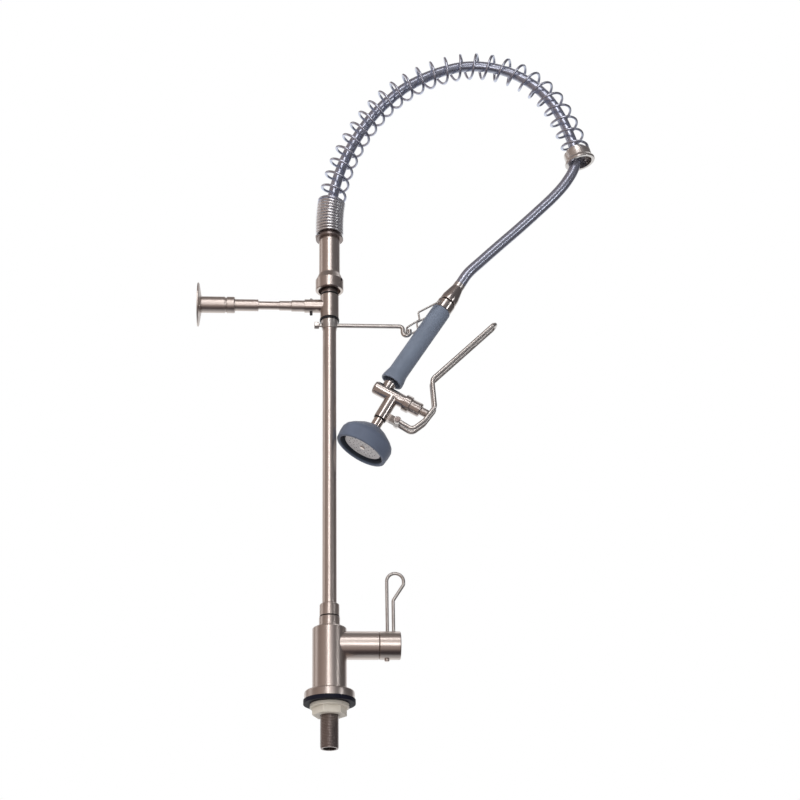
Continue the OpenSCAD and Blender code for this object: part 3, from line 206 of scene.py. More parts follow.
class NodeTree:
    """The nodes of a material or of the world"""

    def __init__(self, owner):
        owner.use_nodes = True
        self.tree = owner.node_tree
        self.tree.nodes.clear()

    def node(self, kind, settings=None, inputs=None, output=0):
        """Adds a node, sets it up, feeds its sockets and returns one of its outputs"""
        node = self.tree.nodes.new(kind)
        for key, value in (settings or {}).items():
            if key == "stops":
                ramp = node.color_ramp.elements
                while len(ramp) < len(value):
                    ramp.new(0.5)
                for stop, (position, colour) in zip(ramp, value):
                    stop.position, stop.color = position, colour
            else:
                setattr(node, key, value)
        for key, value in (inputs or {}).items():
            self.feed(node.inputs[key], value)
        return Signal(self, node.outputs[output])

    def feed(self, socket, value):
        """Links a signal to a socket, or sets the socket to a constant"""
        if isinstance(value, Signal):
            self.tree.links.new(value.socket, socket)
        else:
            socket.default_value = value

    def local(self, where=UPRIGHT):
        """Object coordinates in the frame of a place, so that Z runs along its axis"""
        spot, turn, _ = where.decompose()
        coordinates = self.node("ShaderNodeTexCoord", output="Object")
        return self.node("ShaderNodeMapping", {"vector_type": "TEXTURE"},
                         {"Vector": coordinates, "Location": spot, "Rotation": turn.to_euler()})

    def noise(self, vector, scale, detail, rough=0.5):
        """Noise from 0 to 1, with its own scale along each axis"""
        squeezed = self.node("ShaderNodeMapping", {}, {"Vector": vector, "Scale": scale})
        return self.node("ShaderNodeTexNoise", {},
                         {"Vector": squeezed, "Scale": 1.0, "Detail": detail, "Roughness": rough})

    def axis(self, vector, name):
        """One part of a vector: X, Y or Z"""
        return self.node("ShaderNodeSeparateXYZ", {}, {"Vector": vector}, output=name)

    def mix(self, factor, first, second):
        """A blend of two colours"""
        return self.node("ShaderNodeMix", {"data_type": "RGBA"},
                         {0: factor, 6: first, 7: second}, output=2)

    def blend(self, factor, first, second):
        """A blend of two numbers"""
        return self.node("ShaderNodeMix", {"data_type": "FLOAT"}, {0: factor, 2: first, 3: second})


class Finish(NodeTree):
    """One material, with the nodes that paint it"""

    def __init__(self, name, **constants):
        self.material = bpy.data.materials.new(name)
        super().__init__(self.material)
        self.shader = self.tree.nodes.new("ShaderNodeBsdfPrincipled")
        output = self.tree.nodes.new("ShaderNodeOutputMaterial")
        self.tree.links.new(self.shader.outputs[0], output.inputs["Surface"])
        self.set(**constants)

    def set(self, **inputs):
        """Sets or feeds the shader's sockets: Base_Color stands for the one named Base Color"""
        for key, value in inputs.items():
            self.feed(self.shader.inputs[key.replace("_", " ")], value)
        return self

    def bump(self, height, strength, distance):
        """Roughens the surface by a height, and returns the finish"""
        return self.set(Normal=self.node("ShaderNodeBump", {}, {
            "Height": height, "Strength": strength, "Distance": distance}))

    def wear(self):
        """How near a point is to an edge of its piece, from 0 to 1"""
        return self.node("ShaderNodeAttribute", {"attribute_name": "wear"}, output="Fac")


def shade(colour, amount):
    """A colour made lighter or darker by a factor"""
    return (*(min(1.0, c * amount) for c in colour[:3]), 1.0)


# Finishes. Noise scales are in waves to a metre, and bump distances in metres

LATHE_RINGS = (26, 26, 2300)
LATHE_BANDS = (9, 9, 210)


def lathe_steel(name, colour, roughness, where, side=None, lug=None):
    """Satin steel with the fine rings of the lathe round its axis. side is a second place and
    how far out its branch starts: there the rings run round that place's axis. lug is how far
    out and below what height the piece has a lug, whose colour is darkened as painted shade"""
    f = Finish(name, Metallic=1.0)
    here = f.local(where)
    fine = f.noise(here, LATHE_RINGS, 3)
    broad = f.noise(here, LATHE_BANDS, 3)
    if side:
        branch, reach = side
        there = f.local(branch)
        on_branch = f.axis(there, "Z").rise(reach * MM, (reach + 0.6) * MM)
        fine = f.blend(on_branch, fine, f.noise(there, LATHE_RINGS, 3))
        broad = f.blend(on_branch, broad, f.noise(there, LATHE_BANDS, 3))
    smudge = f.noise(here, (34, 34, 22), 4, 0.6)
    tone = f.mix(broad, shade(colour, 0.93), shade(colour, 1.06))
    tone = f.mix(smudge.rise(0.55, 0.8) * 0.25, tone, shade(colour, 0.8))
    tone = f.mix(f.wear() * 0.5, tone, shade(colour, 1.3))
    # Painted shade: the lug's colour is darkened towards 0.4 of the steel
    if lug:
        beyond, below = lug
        lug_painted_shade = f.axis(here, "X").rise(beyond * MM, (beyond + 1) * MM) * (
            1 - f.axis(here, "Z").rise((below - 1) * MM, below * MM))
        tone = f.mix(0.8 * lug_painted_shade, tone, shade(colour, 0.4))
    f.set(Base_Color=tone,
          Roughness=(roughness - 0.03) + 0.05 * fine + 0.02 * broad + 0.05 * smudge.rise(0.5, 0.8))
    return f.bump(fine, 0.1, 0.00002)


def drawn_wire(name, colour, roughness, foot=None):
    """Bent rod or spring wire: faint pits and smears from drawing and bending. foot is a
    height in millimetres and a paler colour that the wire takes below it, a painted highlight on
    the close turns"""
    f = Finish(name, Metallic=1.0)
    here = f.local()
    pits = f.noise(here, (1400, 1400, 1400), 3)
    smears = f.noise(here, (70, 70, 70), 4, 0.6)
    tone = f.mix(smears.rise(0.3, 0.75), shade(colour, 0.88), shade(colour, 1.06))
    if foot:
        # Painted highlight: below the foot's height the wire takes the paler colour
        height, foot_highlight = foot
        tone = f.mix(f.axis(here, "Z").rise((height - 4) * MM, (height + 4) * MM), foot_highlight, tone)
    f.set(Base_Color=tone, Roughness=(roughness - 0.04) + 0.04 * pits + 0.06 * smears)
    return f.bump(pits, 0.05, 0.00001)


def rubber(name, colour, roughness, where=UPRIGHT, sheen=0.15, shine=0.35, shaded_recess=None):
    """Moulded rubber: a fine matt grain, a dusty bloom and paler edges, worn by rubbing. The
    recess, if given, is a radius, foot and top in millimetres, inside which the colour is darkened
    as painted shade"""
    f = Finish(name, Sheen_Weight=sheen, Sheen_Roughness=0.5, Specular_IOR_Level=shine)
    here = f.local(where)
    grain = f.noise(here, (1500, 1500, 1500), 4, 0.6)
    bloom = f.noise(here, (48, 48, 30), 4, 0.6)
    tone = f.mix(bloom.rise(0.3, 0.75), shade(colour, 0.9), shade(colour, 1.08))
    tone = f.mix(grain.rise(0.55, 0.8) * 0.2, tone, shade(colour, 1.3))
    tone = f.mix(f.wear() * 0.3, tone, shade(colour, 1.4))
    # Painted shade: inside the recess the rubber is darkened towards 0.15 of its colour
    if shaded_recess:
        radius, low, high = shaded_recess
        out = f.node("ShaderNodeVectorMath", {"operation": "LENGTH"}, {
            0: f.node("ShaderNodeMapping", {}, {"Vector": here, "Scale": (1, 1, 0)})}, "Value")
        up = f.axis(here, "Z")
        recess_shade = up.rise(low * MM, (low + 3) * MM) * (1 - up.rise(high * MM, (high + 1) * MM)) * (
            1 - out.rise((radius - 0.4) * MM, (radius + 0.4) * MM))
        tone = f.mix(recess_shade * 0.9, tone, shade(colour, 0.15))
    f.set(Base_Color=tone, Roughness=roughness + 0.12 * bloom)
    return f.bump(grain, 0.15, 0.00004)


def moulded_plastic(name, colour, roughness):
    """Injection-moulded plastic: a light stipple and faint flow marks"""
    f = Finish(name)
    here = f.local()
    stipple = f.noise(here, (1100, 1100, 1100), 2)
    flow = f.noise(here, (60, 60, 160), 4, 0.6)
    tone = f.mix(flow.rise(0.3, 0.8), shade(colour, 0.93), shade(colour, 1.04))
    tone = f.mix(f.wear() * 0.4, tone, shade(colour, 1.08))
    f.set(Base_Color=tone, Roughness=roughness + 0.1 * flow)
    return f.bump(stipple, 0.2, 0.00006)


def braided_hose(name, colour, gap_colour, strands, turns_per_width):
    """Fine wire braid under a clear sleeve, laid over and under along the hose's own UV map,
    whose U runs once round it and V once along it"""
    f = Finish(name, Metallic=0.85, Coat_Roughness=0.1, Coat_Weight=1.0)
    uv = f.node("ShaderNodeTexCoord", output="UV")
    round_it = f.axis(uv, "X") * (math.tau * strands)
    along = f.axis(uv, "Y") * (math.tau * strands * turns_per_width)
    one_way = (0.5 * (round_it + along)).sine().size()
    other_way = (0.5 * (round_it - along)).sine().size()
    over = (round_it.sine() * along.sine()).rise(-0.25, 0.25)
    lay = f.blend(over, one_way, other_way)
    wires = f.noise(f.local(), (700, 700, 700), 2)
    tone = f.mix(lay.rise(0.05, 0.5), gap_colour, colour)
    tone = f.mix(wires.rise(0.4, 0.75) * 0.2, tone, shade(colour, 1.2))
    f.set(Base_Color=tone, Roughness=0.24 + 0.1 * (1 - lay))
    return f.bump(lay, 0.05, 0.00005)


def thread_steel(name, colour, pitch):
    """Cut thread of a pitch in millimetres: crests worn bright, torn flanks and smears of oil"""
    f = Finish(name, Metallic=1.0)
    here = f.local()
    torn = f.noise(here, (500, 500, 1800), 3)
    oil = f.noise(here, (60, 60, 90), 4, 0.6)
    tone = f.mix(oil.rise(0.35, 0.75), shade(colour, 0.85), shade(colour, 1.1))
    tone = f.mix(f.wear() * 0.5, tone, shade(colour, 1.3))
    f.set(Base_Color=tone, Roughness=0.3 + 0.08 * torn + 0.06 * oil)
    return f.bump(torn, 0.1, 0.01 * pitch * MM)


# Meshes

def select_only(obj):
    """Selects one piece and makes it active"""
    bpy.ops.object.select_all(action="DESELECT")
    obj.select_set(True)
    bpy.context.view_layer.objects.active = obj


def apply_modifier(obj, kind, **settings):
    """Adds one modifier, sets it up and applies it"""
    select_only(obj)
    modifier = obj.modifiers.new(kind.title(), kind)
    for key, value in settings.items():
        setattr(modifier, key, value)
    bpy.ops.object.modifier_apply(modifier=modifier.name)


def break_edges(obj, width, segments=2, angle=30):
    """Rounds the edges of a piece that turn by more than an angle in degrees"""
    apply_modifier(obj, "BEVEL", width=width, segments=segments, limit_method="ANGLE",
                   angle_limit=math.radians(angle))


def mark_wear(obj):
    """Stores how sharply a piece turns at each vertex, for its finish to rub the edges bright"""
    flat, sharp = 0.3, 1.0
    mesh = bmesh.new()
    mesh.from_mesh(obj.data)
    turns = [sum(e.calc_face_angle(0) for e in v.link_edges) for v in mesh.verts]
    mesh.free()
    layer = obj.data.attributes.new("wear", "FLOAT", "POINT")
    layer.data.foreach_set("value", [min(1, max(0, (t - flat) / (sharp - flat))) for t in turns])


def finish_piece(obj, name, finish, replaced, smooth=35, rides=True):
    """Names, smooths and paints a finished piece, and lets it ride with the solid that it
    replaces. smooth is the angle in degrees above which its edges stay sharp"""
    obj.name = obj.data.name = name
    obj.data.materials.clear()
    obj.data.materials.append(finish.material)
    select_only(obj)
    bpy.ops.object.shade_smooth_by_angle(angle=math.radians(smooth))
    mark_wear(obj)
    apply_modifier(obj, "WEIGHTED_NORMAL", keep_sharp=True)
    if rides:
        body = frame["nodes"][replaced[0]]["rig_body"]
        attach(obj, body)
    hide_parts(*replaced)
    return obj


def edit_all(obj, *steps):
    """Runs edit-mode steps on the whole mesh of a piece"""
    select_only(obj)
    bpy.ops.object.mode_set(mode="EDIT")
    bpy.ops.mesh.select_mode(type="VERT")
    bpy.ops.mesh.select_all(action="SELECT")
    for operator, settings in steps:
        operator(**settings)
    bpy.ops.object.mode_set(mode="OBJECT")


def settle(obj, where):
    """Puts a piece modelled about Z at its place, and its place in its mesh"""
    obj.matrix_world = where @ obj.matrix_world
    select_only(obj)
    bpy.ops.object.transform_apply()
    return obj


def turned(outline, where=UPRIGHT, sides=96):
    """A turned piece: a ring at the outline's first point, extruded and sized to each of the
    next. The outline holds radii and heights in millimetres, and comes back to its start
    unless both its ends lie on the axis"""
    tiny = 0.0005
    points = [(max(r, tiny), z) for r, z in outline]
    r, z = points[0]
    bpy.ops.object.select_all(action="DESELECT")
    bpy.ops.mesh.primitive_circle_add(vertices=sides, radius=r * MM, location=(0, 0, z * MM))
    obj = bpy.context.object
    bpy.ops.object.mode_set(mode="EDIT")
    bpy.ops.mesh.select_mode(type="EDGE")
    bpy.ops.mesh.select_all(action="SELECT")
    on_axis = outline[0][0] == 0 and outline[-1][0] == 0
    for next_r, next_z in points[1:] + ([] if on_axis else points[:1]):
        bpy.ops.mesh.extrude_region_move(
            TRANSFORM_OT_translate={"value": (0, 0, (next_z - z) * MM)})
        bpy.ops.transform.resize(value=(next_r / r, next_r / r, 1))
        r, z = next_r, next_z
    bpy.ops.mesh.select_all(action="SELECT")
    bpy.ops.mesh.remove_doubles(threshold=2 * tiny * MM)
    bpy.ops.mesh.normals_make_consistent()
    bpy.ops.object.mode_set(mode="OBJECT")
    return settle(obj, where)


def bend(a, p, b, radius, step):
    """Points of a round bend at p, on the way from a to b, a step in degrees apart"""
    d, e = (p - a).normalized(), (b - p).normalized()
    angle = d.angle(e)
    inward = (e - e.dot(d) * d).normalized()
    start = p - d * radius * math.tan(angle / 2)
    steps = max(1, math.ceil(math.degrees(angle) / step))
    return [start + radius * (math.sin(t) * d + (1 - math.cos(t)) * inward)
            for t in (angle * i / steps for i in range(steps + 1))]


def bent_path(points, radii, step=5):
    """A route through points with round bends, each of its radius. step is in degrees"""
    route = [points[0]]
    for i, radius in enumerate(radii):
        route += bend(points[i], points[i + 1], points[i + 2], radius, step)
    return route + [points[-1]]


def in_plane(points, y=0.0):
    """Points in the XZ plane, or beside it at y"""
    return [Vector((x, y, z)) for x, z in points]


def round_wire(route, radius, sides, where=UPRIGHT):
    """A round wire along a route in millimetres, as a mesh with an even number of sides"""
    curve = bpy.data.curves.new("wire", "CURVE")
    curve.dimensions = "3D"
    spline = curve.splines.new("POLY")
    spline.points.add(len(route) - 1)
    for point, at in zip(spline.points, route):
        point.co = (*(at * MM), 1)
    curve.bevel_depth = radius * MM
    curve.bevel_resolution = (sides - 4) // 2
    curve.use_fill_caps = True
    obj = bpy.data.objects.new("wire", curve)
    bpy.context.scene.collection.objects.link(obj)
    select_only(obj)
    bpy.ops.object.convert(target="MESH")
    obj = bpy.context.object
    edit_all(obj, (bpy.ops.mesh.remove_doubles, {"threshold": 1e-7}),
             (bpy.ops.mesh.normals_make_consistent, {}))
    return settle(obj, where)


def united(obj, others, operation="UNION"):
    """Joins pieces into one solid, or cuts them from it, and removes them"""
    for other in others:
        apply_modifier(obj, "BOOLEAN", operation=operation, solver="EXACT", object=other)
        bpy.data.objects.remove(other)
    return obj


def cylinder(radius, depth, where, sides):
    """A cylinder about the axis of a place, centred on it, to be joined or cut"""
    bpy.ops.mesh.primitive_cylinder_add(vertices=sides, radius=radius * MM, depth=depth * MM)
    return settle(bpy.context.object, where)


def copy_of(node):
    """A merged copy of a solid, with its flat faces whole"""
    flat = math.radians(0.5)
    obj = bpy.data.objects.new(node, frame["nodes"][node].data.copy())
    bpy.context.scene.collection.objects.link(obj)
    edit_all(obj, (bpy.ops.mesh.remove_doubles, {"threshold": 1e-6}),
             (bpy.ops.mesh.dissolve_limited, {"angle_limit": flat}))
    return obj


def deburred(node, name, finish, width, segments=2):
    """A finished copy of a solid, with its edges rounded to a width in metres"""
    obj = copy_of(node)
    break_edges(obj, width, segments)
    return finish_piece(obj, name, finish, [node])


# The arch that the spring follows, and the route of the hose

def arch_at(s):
    """Centre and heading of the arch at a length s from the seat, in millimetres"""
    x, z, heading = 0.0, SEAT_TOP, math.pi / 2
    if s < ARCH_FOOT:
        return x, z + s, heading
    z, left = z + ARCH_FOOT, s - ARCH_FOOT
    for radius, sweep in ARCH_BENDS:
        turn = min(left / radius, math.radians(sweep))
        x += radius * (math.sin(heading) - math.sin(heading - turn))
        z += radius * (math.cos(heading - turn) - math.cos(heading))
        heading, left = heading - turn, left - radius * turn
    return x, z, heading


ARCH_LENGTH = ARCH_FOOT + sum(r * math.radians(a) for r, a in ARCH_BENDS)
ARCH_END_X, ARCH_END_Z, ARCH_END_HEADING = arch_at(ARCH_LENGTH)
ARCH_END = place(ARCH_END_X, ARCH_END_Z, 90 - math.degrees(ARCH_END_HEADING))


def smooth_route(points, spacing):
    """A smooth curve through points, at even steps of about the spacing"""
    dense = []
    padded = [2 * points[0] - points[1], *points, 2 * points[-1] - points[-2]]
    for i in range(1, len(padded) - 2):
        a, b, c, d = padded[i - 1:i + 3]
        for t in (k / 20 for k in range(20)):
            dense.append(0.5 * (2 * b + (c - a) * t + (2 * a - 5 * b + 4 * c - d) * t ** 2
                                + (3 * b - a - 3 * c + d) * t ** 3))
    dense.append(points[-1])
    lengths = [0.0]
    for a, b in zip(dense, dense[1:]):
        lengths.append(lengths[-1] + (b - a).length)
    steps = round(lengths[-1] / spacing)
    route, i = [], 0
    for k in range(steps + 1):
        target = lengths[-1] * k / steps
        while i < len(lengths) - 2 and lengths[i + 1] < target:
            i += 1
        share = (target - lengths[i]) / (lengths[i + 1] - lengths[i])
        route.append(dense[i].lerp(dense[i + 1], min(1, share)))
    return route


def run_of(path):
    """The length of a path from point to point"""
    return sum((b - a).length for a, b in zip(path, path[1:]))


# Sizes and colours that a user would change

def length(name, default, description):
    """A length in metres"""
    return FloatProperty(name=name, description=description, default=default, min=0,
                         precision=4, unit="LENGTH")


def colour(name, default, description):
    """A colour without its alpha"""
    return FloatVectorProperty(name=name, description=description, default=(*default, 1.0),
                               size=4, min=0, max=1, subtype="COLOR")


def amount(name, default, description):
    """A plain number"""
    return FloatProperty(name=name, description=description, default=default, min=0, max=10)


class FaucetSteel(bpy.types.PropertyGroup):
    """The metals"""
    body: colour("Steel", (0.60, 0.54, 0.505), "Satin steel of the base, the riser and the tee")
    dark: colour("Dark Steel", (0.30, 0.26, 0.25), "Duller steel of the shank and the collars")
    gun: colour("Gun Metal", (0.56, 0.52, 0.50), "Plated metal of the spray gun")
    rod: colour("Bright Rod", (0.66, 0.635, 0.615), "Bright wire of the levers and the hook")
    spring: colour("Spring Steel", (0.63, 0.67, 0.80), "Wire of the arch spring")
    # The close turns at the spring's foot are painted paler than the wire: a painted highlight
    foot: colour("Spring Foot Highlight", (0.92, 0.93, 0.96), "Bright close turns at its foot")
    brass: colour("Brass", (0.62, 0.47, 0.24), "Bare brass inside the valve")
    roughness: amount("Roughness", 0.29, "How satin the turned steel is")
    edge: length("Broken Edge", 0.0004, "Width of the broken edges on turned metal")


class FaucetRubber(bpy.types.PropertyGroup):
    """The rubbers and plastics"""
    grip: colour("Grip", (0.225, 0.28, 0.375), "Blue-grey rubber of the grip")
    bumper: colour("Bumper", (0.15, 0.19, 0.275), "Blue-grey rubber of the bumper")
    seal: colour("Seals", (0.013, 0.013, 0.016), "Black rubber of the seals")
    gasket: colour("Gasket", (0.009, 0.010, 0.022), "Blue-black rubber of the deck gasket")
    nut: colour("Nut", (0.80, 0.77, 0.68), "Cream plastic of the mounting nut")
    face: colour("Face", (0.74, 0.74, 0.76), "Pale grey spray face")
    edge: length("Soft Edge", 0.0009, "Radius of the soft edges on rubber")


class FaucetHose(bpy.types.PropertyGroup):
    """The hose"""
    diameter: length("Diameter", 0.014, "Outer diameter of the hose")
    braid: colour("Braid", (0.50, 0.54, 0.66), "Wires of the braid")
    gaps: colour("Gaps", (0.22, 0.24, 0.34), "Hose between the wires")
    strands: IntProperty(name="Strands", description="Strands of the braid each way",
                         default=24, min=4, max=48)


class FaucetSpring(bpy.types.PropertyGroup):
    """The arch spring"""
    outer: length("Outer Diameter", 0.036, "Outer diameter of the spring")
    wire: length("Wire", 0.0035, "Diameter of the spring's wire")
    close_pitch: length("Close Pitch", 0.0042, "Rise of each close turn at the foot")
    close_turns: IntProperty(name="Close Turns", description="Close turns at the foot",
                             default=12, min=1, max=16)
    open_turns: IntProperty(name="Open Turns", description="Open turns round the arch",
                            default=26, min=16, max=28)


class FaucetStage(bpy.types.PropertyGroup):
    """The studio"""
    floor: FloatProperty(name="Floor Height", description="Height of the studio floor",
                         default=-0.85, unit="LENGTH")
    panel: amount("Light Panel", 3.4, "Brightness of the tall panel in front")
    fill: amount("Fill", 1.8, "Brightness of the soft lamp from the left")
    front: colour("Front of the Room", (0.41, 0.33, 0.295), "What the metal mirrors in front")
    side: colour("Dark Side", (0.15, 0.14, 0.142), "What the metal mirrors on the right")
    ceiling: colour("Ceiling", (0.20, 0.18, 0.175), "What the metal mirrors overhead")
    low: colour("Low Front", (0.045, 0.035, 0.04), "What the metal mirrors low in front")
    back: colour("Back of the Room", (0.93, 0.93, 0.94), "What the metal mirrors behind")


# Operators, one for each piece or group of like pieces

class FaucetOperator:
    """What the operators share: each makes its pieces in the scene"""
    bl_options = {"REGISTER", "UNDO"}

    def execute(self, context):
        self.make(context.scene)
        return {"FINISHED"}


class FAUCET_OT_stage(FaucetOperator, bpy.types.Operator):
    """Sets up the camera, the light panels, the room and the floor"""
    bl_idname = "faucet.stage"
    bl_label = "Stage"

    def make(self, scene):
        settings = scene.faucet_stage
        scene.view_settings.view_transform = "Standard"
        self.camera(scene)
        for lamp in (
                ("low_panel", (0.22, -2.5, 0.0), 0.75, 0.75, settings.panel),
                ("high_panel", (-0.36, -2.5, 1.35), 0.5, 1.6, settings.panel),
                ("top_bar", (0.14, -2.3, 2.1), 1.1, 0.4, settings.panel),
                ("right_panel", (2.26, -1.66, 0.44), 0.4, 0.5, settings.panel * 1.6),
                ("side_panel", (-2.6, 0.5, 1.4), 1.2, 1.6, 0.6),
                ("top_panel", (0.7, 1.0, 2.6), 1.5, 1.0, 1.0)):
            self.panel(*lamp)
        fill = self.panel("soft_fill", (-1.9, -1.9, 1.3), 2.0, 2.0, settings.fill)
        fill.visible_glossy = False
        self.room(scene, settings)
        self.floor(settings.floor)

    def floor(self, height):
        """A white floor that keeps the faucet's shadow. The camera sees it lit from within, as
        white as the background, and the metal doesn't mirror it"""
        bpy.ops.mesh.primitive_plane_add(size=14, location=(0, 0, height))
        floor = bpy.context.object
        floor.name = "studio_floor"
        paint = Finish("floor_paint", Roughness=0.9, Specular_IOR_Level=0.1,
                       Emission_Strength=1.0)
        grain = paint.noise(paint.local(), (3, 3, 3), 3)
        seen = paint.node("ShaderNodeLightPath", output="Is Camera Ray")
        paint.set(Base_Color=paint.mix(grain, (0.86, 0.86, 0.865, 1), (0.9, 0.9, 0.9, 1)),
                  Emission_Color=paint.mix(seen, (0, 0, 0, 1), (0.8, 0.8, 0.8, 1)))
        floor.data.materials.append(paint.material)
        floor.visible_glossy = False

    def camera(self, scene):
        """The camera, which looks up at the faucet from below"""
        azimuth, pitch, roll = (math.radians(a) for a in CAMERA_TURN)
        turn = (Matrix.Rotation(-azimuth, 3, "Z") @ Matrix.Rotation(math.pi / 2 + pitch, 3, "X")
                @ Matrix.Rotation(roll, 3, "Z"))
        bpy.ops.object.camera_add(location=CAMERA_AT, rotation=turn.to_euler())
        scene.camera = bpy.context.object
        film = scene.camera.data
        film.lens, film.sensor_width, film.clip_end = 81, 36, 50

    def panel(self, name, spot, width, height, brightness):
        """A flat lamp that faces the faucet, with a surface of the given brightness"""
        bpy.ops.object.light_add(type="AREA", location=spot)
        lamp = bpy.context.object
        lamp.name = name
        way = FAUCET_MIDDLE - Vector(spot)
        lamp.rotation_euler = way.to_track_quat("-Z", "Y").to_euler()
        lamp.data.shape = "RECTANGLE"
        lamp.data.size, lamp.data.size_y = width, height
        lamp.data.energy = brightness * math.pi * width * height
        return lamp

    def room(self, scene, settings):
        """A white background, seen by the camera and mirrored by the metal, and a room that is
        dim in front of it, where the camera stands"""
        scene.world = bpy.data.worlds.new("studio_room")
        room = NodeTree(scene.world)
        way = room.node("ShaderNodeTexCoord", output="Generated")
        x, y, z = (room.axis(way, name) for name in "XYZ")
        warm, side = settings.front, settings.side
        sweep = room.node("ShaderNodeValToRGB", {"stops": (
            (0.0, shade(warm, 0.7)), (0.06, shade(warm, 0.7)), (0.16, shade(warm, 0.95)),
            (0.32, shade(warm, 0.85)), (0.48, warm), (0.64, shade(side, 1.9)), (0.78, side),
            (1.0, shade(side, 0.8)))}, {"Fac": 0.5 + 0.5 * x})
        front = room.mix(z.rise(0.7, 1.0), sweep, settings.ceiling)
        low = room.mix(y.rise(0.05, 0.22), settings.low, shade(settings.back, 0.5))
        front = room.mix(z.rise(-0.88, -0.65), low, front)
        behind = y.rise(0.55, 0.9)
        mirrored = room.mix(behind, front, settings.back)
        camera, glossy, through = (room.node("ShaderNodeLightPath", output=kind) for kind in (
            "Is Camera Ray", "Is Glossy Ray", "Is Transmission Ray"))
        shown = room.mix(camera + (glossy + through) * behind, mirrored, (1, 1, 1, 1))
        light = room.node("ShaderNodeBackground", {}, {"Color": shown, "Strength": 1.0})
        output = room.tree.nodes.new("ShaderNodeOutputWorld")
        room.tree.links.new(light.socket, output.inputs["Surface"])


class FAUCET_OT_hose(FaucetOperator, bpy.types.Operator):
    """Makes the braided hose along its route, in two lengths that meet out of sight in the
    spring's end ring: the arch rides with the column that holds its spring, and the free length
    rides with no body"""
    bl_idname = "faucet.hose"
    bl_label = "Hose"

    def make(self, scene):
        settings = scene.faucet_hose
        route = smooth_route(in_plane(HOSE_ROUTE), 4)
        path = [p * MM for p in route]
        steps = len(route) - 1
        along_per_width = run_of(path) / (math.pi * settings.diameter)
        braid = braided_hose("hose_braid", settings.braid, settings.gaps,
                             settings.strands, along_per_width)
        ring, = in_plane([HOSE_IN_RING])
        held = min(range(len(route)), key=lambda i: (route[i] - ring).length)
        for name, first, last in (("arch_hose", 0, held), ("free_hose", held, steps)):
            obj = round_wire(route[first:last + 1], settings.diameter / MM / 2, HOSE_SIDES)
            for corner in obj.data.uv_layers.active.data:
                corner.uv.y = (first + corner.uv.y * (last - first)) / steps
            finish_piece(obj, name, braid, ["hose"], 60, rides=False)
            if last == held:
                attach(obj, "column")
            else:
                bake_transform(obj)


class FAUCET_OT_springs(FaucetOperator, bpy.types.Operator):
    """Winds the arch spring and the return spring in the spray valve"""
    bl_idname = "faucet.springs"
    bl_label = "Springs"

    def make(self, scene):
        arch = scene.faucet_spring
        closed = SEAT_TOP + arch.close_turns * arch.close_pitch / MM
        # Below the top of the close turns the spring wire is painted paler: a painted highlight
        steel = drawn_wire("spring_wire", scene.faucet_steel.spring, 0.25,
                           (closed, scene.faucet_steel.foot))
        finish_piece(self.arch_spring(arch), "arch_spring", steel, ["spring"], 60)
        # The return spring's closed end and length along the barrel, and the plunger's stroke
        back, span, travel = -20, 11.95, 7
        pusher = finish_piece(self.return_spring(back, span), "valve_return_spring", steel,
                              ["return_spring"], 60)
        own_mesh(pusher)

    def arch_spring(self, settings):
        """Close turns at the foot, then open ones, each of 40 steps, with straight ends"""
        steps = 40
        wire = settings.wire / MM
        mean = (settings.outer / MM - wire) / 2
        close = settings.close_pitch / MM
        open_len = ARCH_LENGTH - 2 * wire - settings.close_turns * close
        turns = settings.close_turns + settings.open_turns
        route = []
        for i in range(-1, turns * steps + 2):
            turn = min(max(i / steps, 0), turns)
            s = wire + min(turn, settings.close_turns) * close
            s += max(turn - settings.close_turns, 0) * open_len / settings.open_turns
            s = 0 if i < 0 else ARCH_LENGTH if i > turns * steps else s
            x, z, heading = arch_at(s)
            angle = math.tau * turn
            outward = Vector((-math.sin(heading), 0, math.cos(heading)))
            route.append(Vector((x, 0, z)) + mean * (
                math.cos(angle) * outward + math.sin(angle) * Vector((0, 1, 0))))
        return round_wire(route, wire / 2, 12)

    def return_spring(self, start, span):
        """A short spring about the barrel's axis, from start over a span, in millimetres"""
        mean, wire, turns, steps = 3.3, 0.8, 5, 32
        route = []
        for i in range(-1, turns * steps + 2):
            turn = min(max(i / steps, 0), turns)
            along = wire + turn * (span - 2 * wire) / turns
            along = 0 if i < 0 else span if i > turns * steps else along
            angle = math.tau * turn
            route.append(Vector((start + along, mean * math.cos(angle), mean * math.sin(angle))))
        return round_wire(route, wire / 2, 8, GUN)


class FAUCET_OT_wires(FaucetOperator, bpy.types.Operator):
    """Bends the base lever, the hook and the hanger bail from round wire"""
    bl_idname = "faucet.wires"
    bl_label = "Bent Wires"

    def make(self, scene):
        settings = scene.faucet_steel
        bright = drawn_wire("bright_rod", settings.rod, 0.34)
        lever = round_wire(bent_path(in_plane(LEVER_WIRE), LEVER_WIRE_BENDS),
                           LEVER_WIRE_RADIUS, 16)
        finish_piece(lever, "base_lever_wire", bright, ["lever_wire"], 60)
        hook = round_wire(bent_path(in_plane(HOOK_WIRE), HOOK_WIRE_BENDS), HOOK_RADIUS, 16)
        break_edges(hook, 0.8 * MM, 3, 60)
        finish_piece(hook, "hook_rod", bright, ["hook_arm"], 60)
        leg = in_plane(BAIL_LEG, BAIL_HALF_WIDTH)
        leg.append(Vector((BAIL_HOLE[0], BAIL_END_Y, BAIL_HOLE[1])))
        other = [Vector((p.x, -p.y, p.z)) for p in reversed(leg)]
        route = bent_path(other + leg, [BAIL_BEND] * (2 * len(leg) - 2), 10)
        bail = round_wire(route, BAIL_RADIUS, 12, HOOK)
        finish_piece(bail, "bail_wire", bright, ["hanger_bail"], 60)


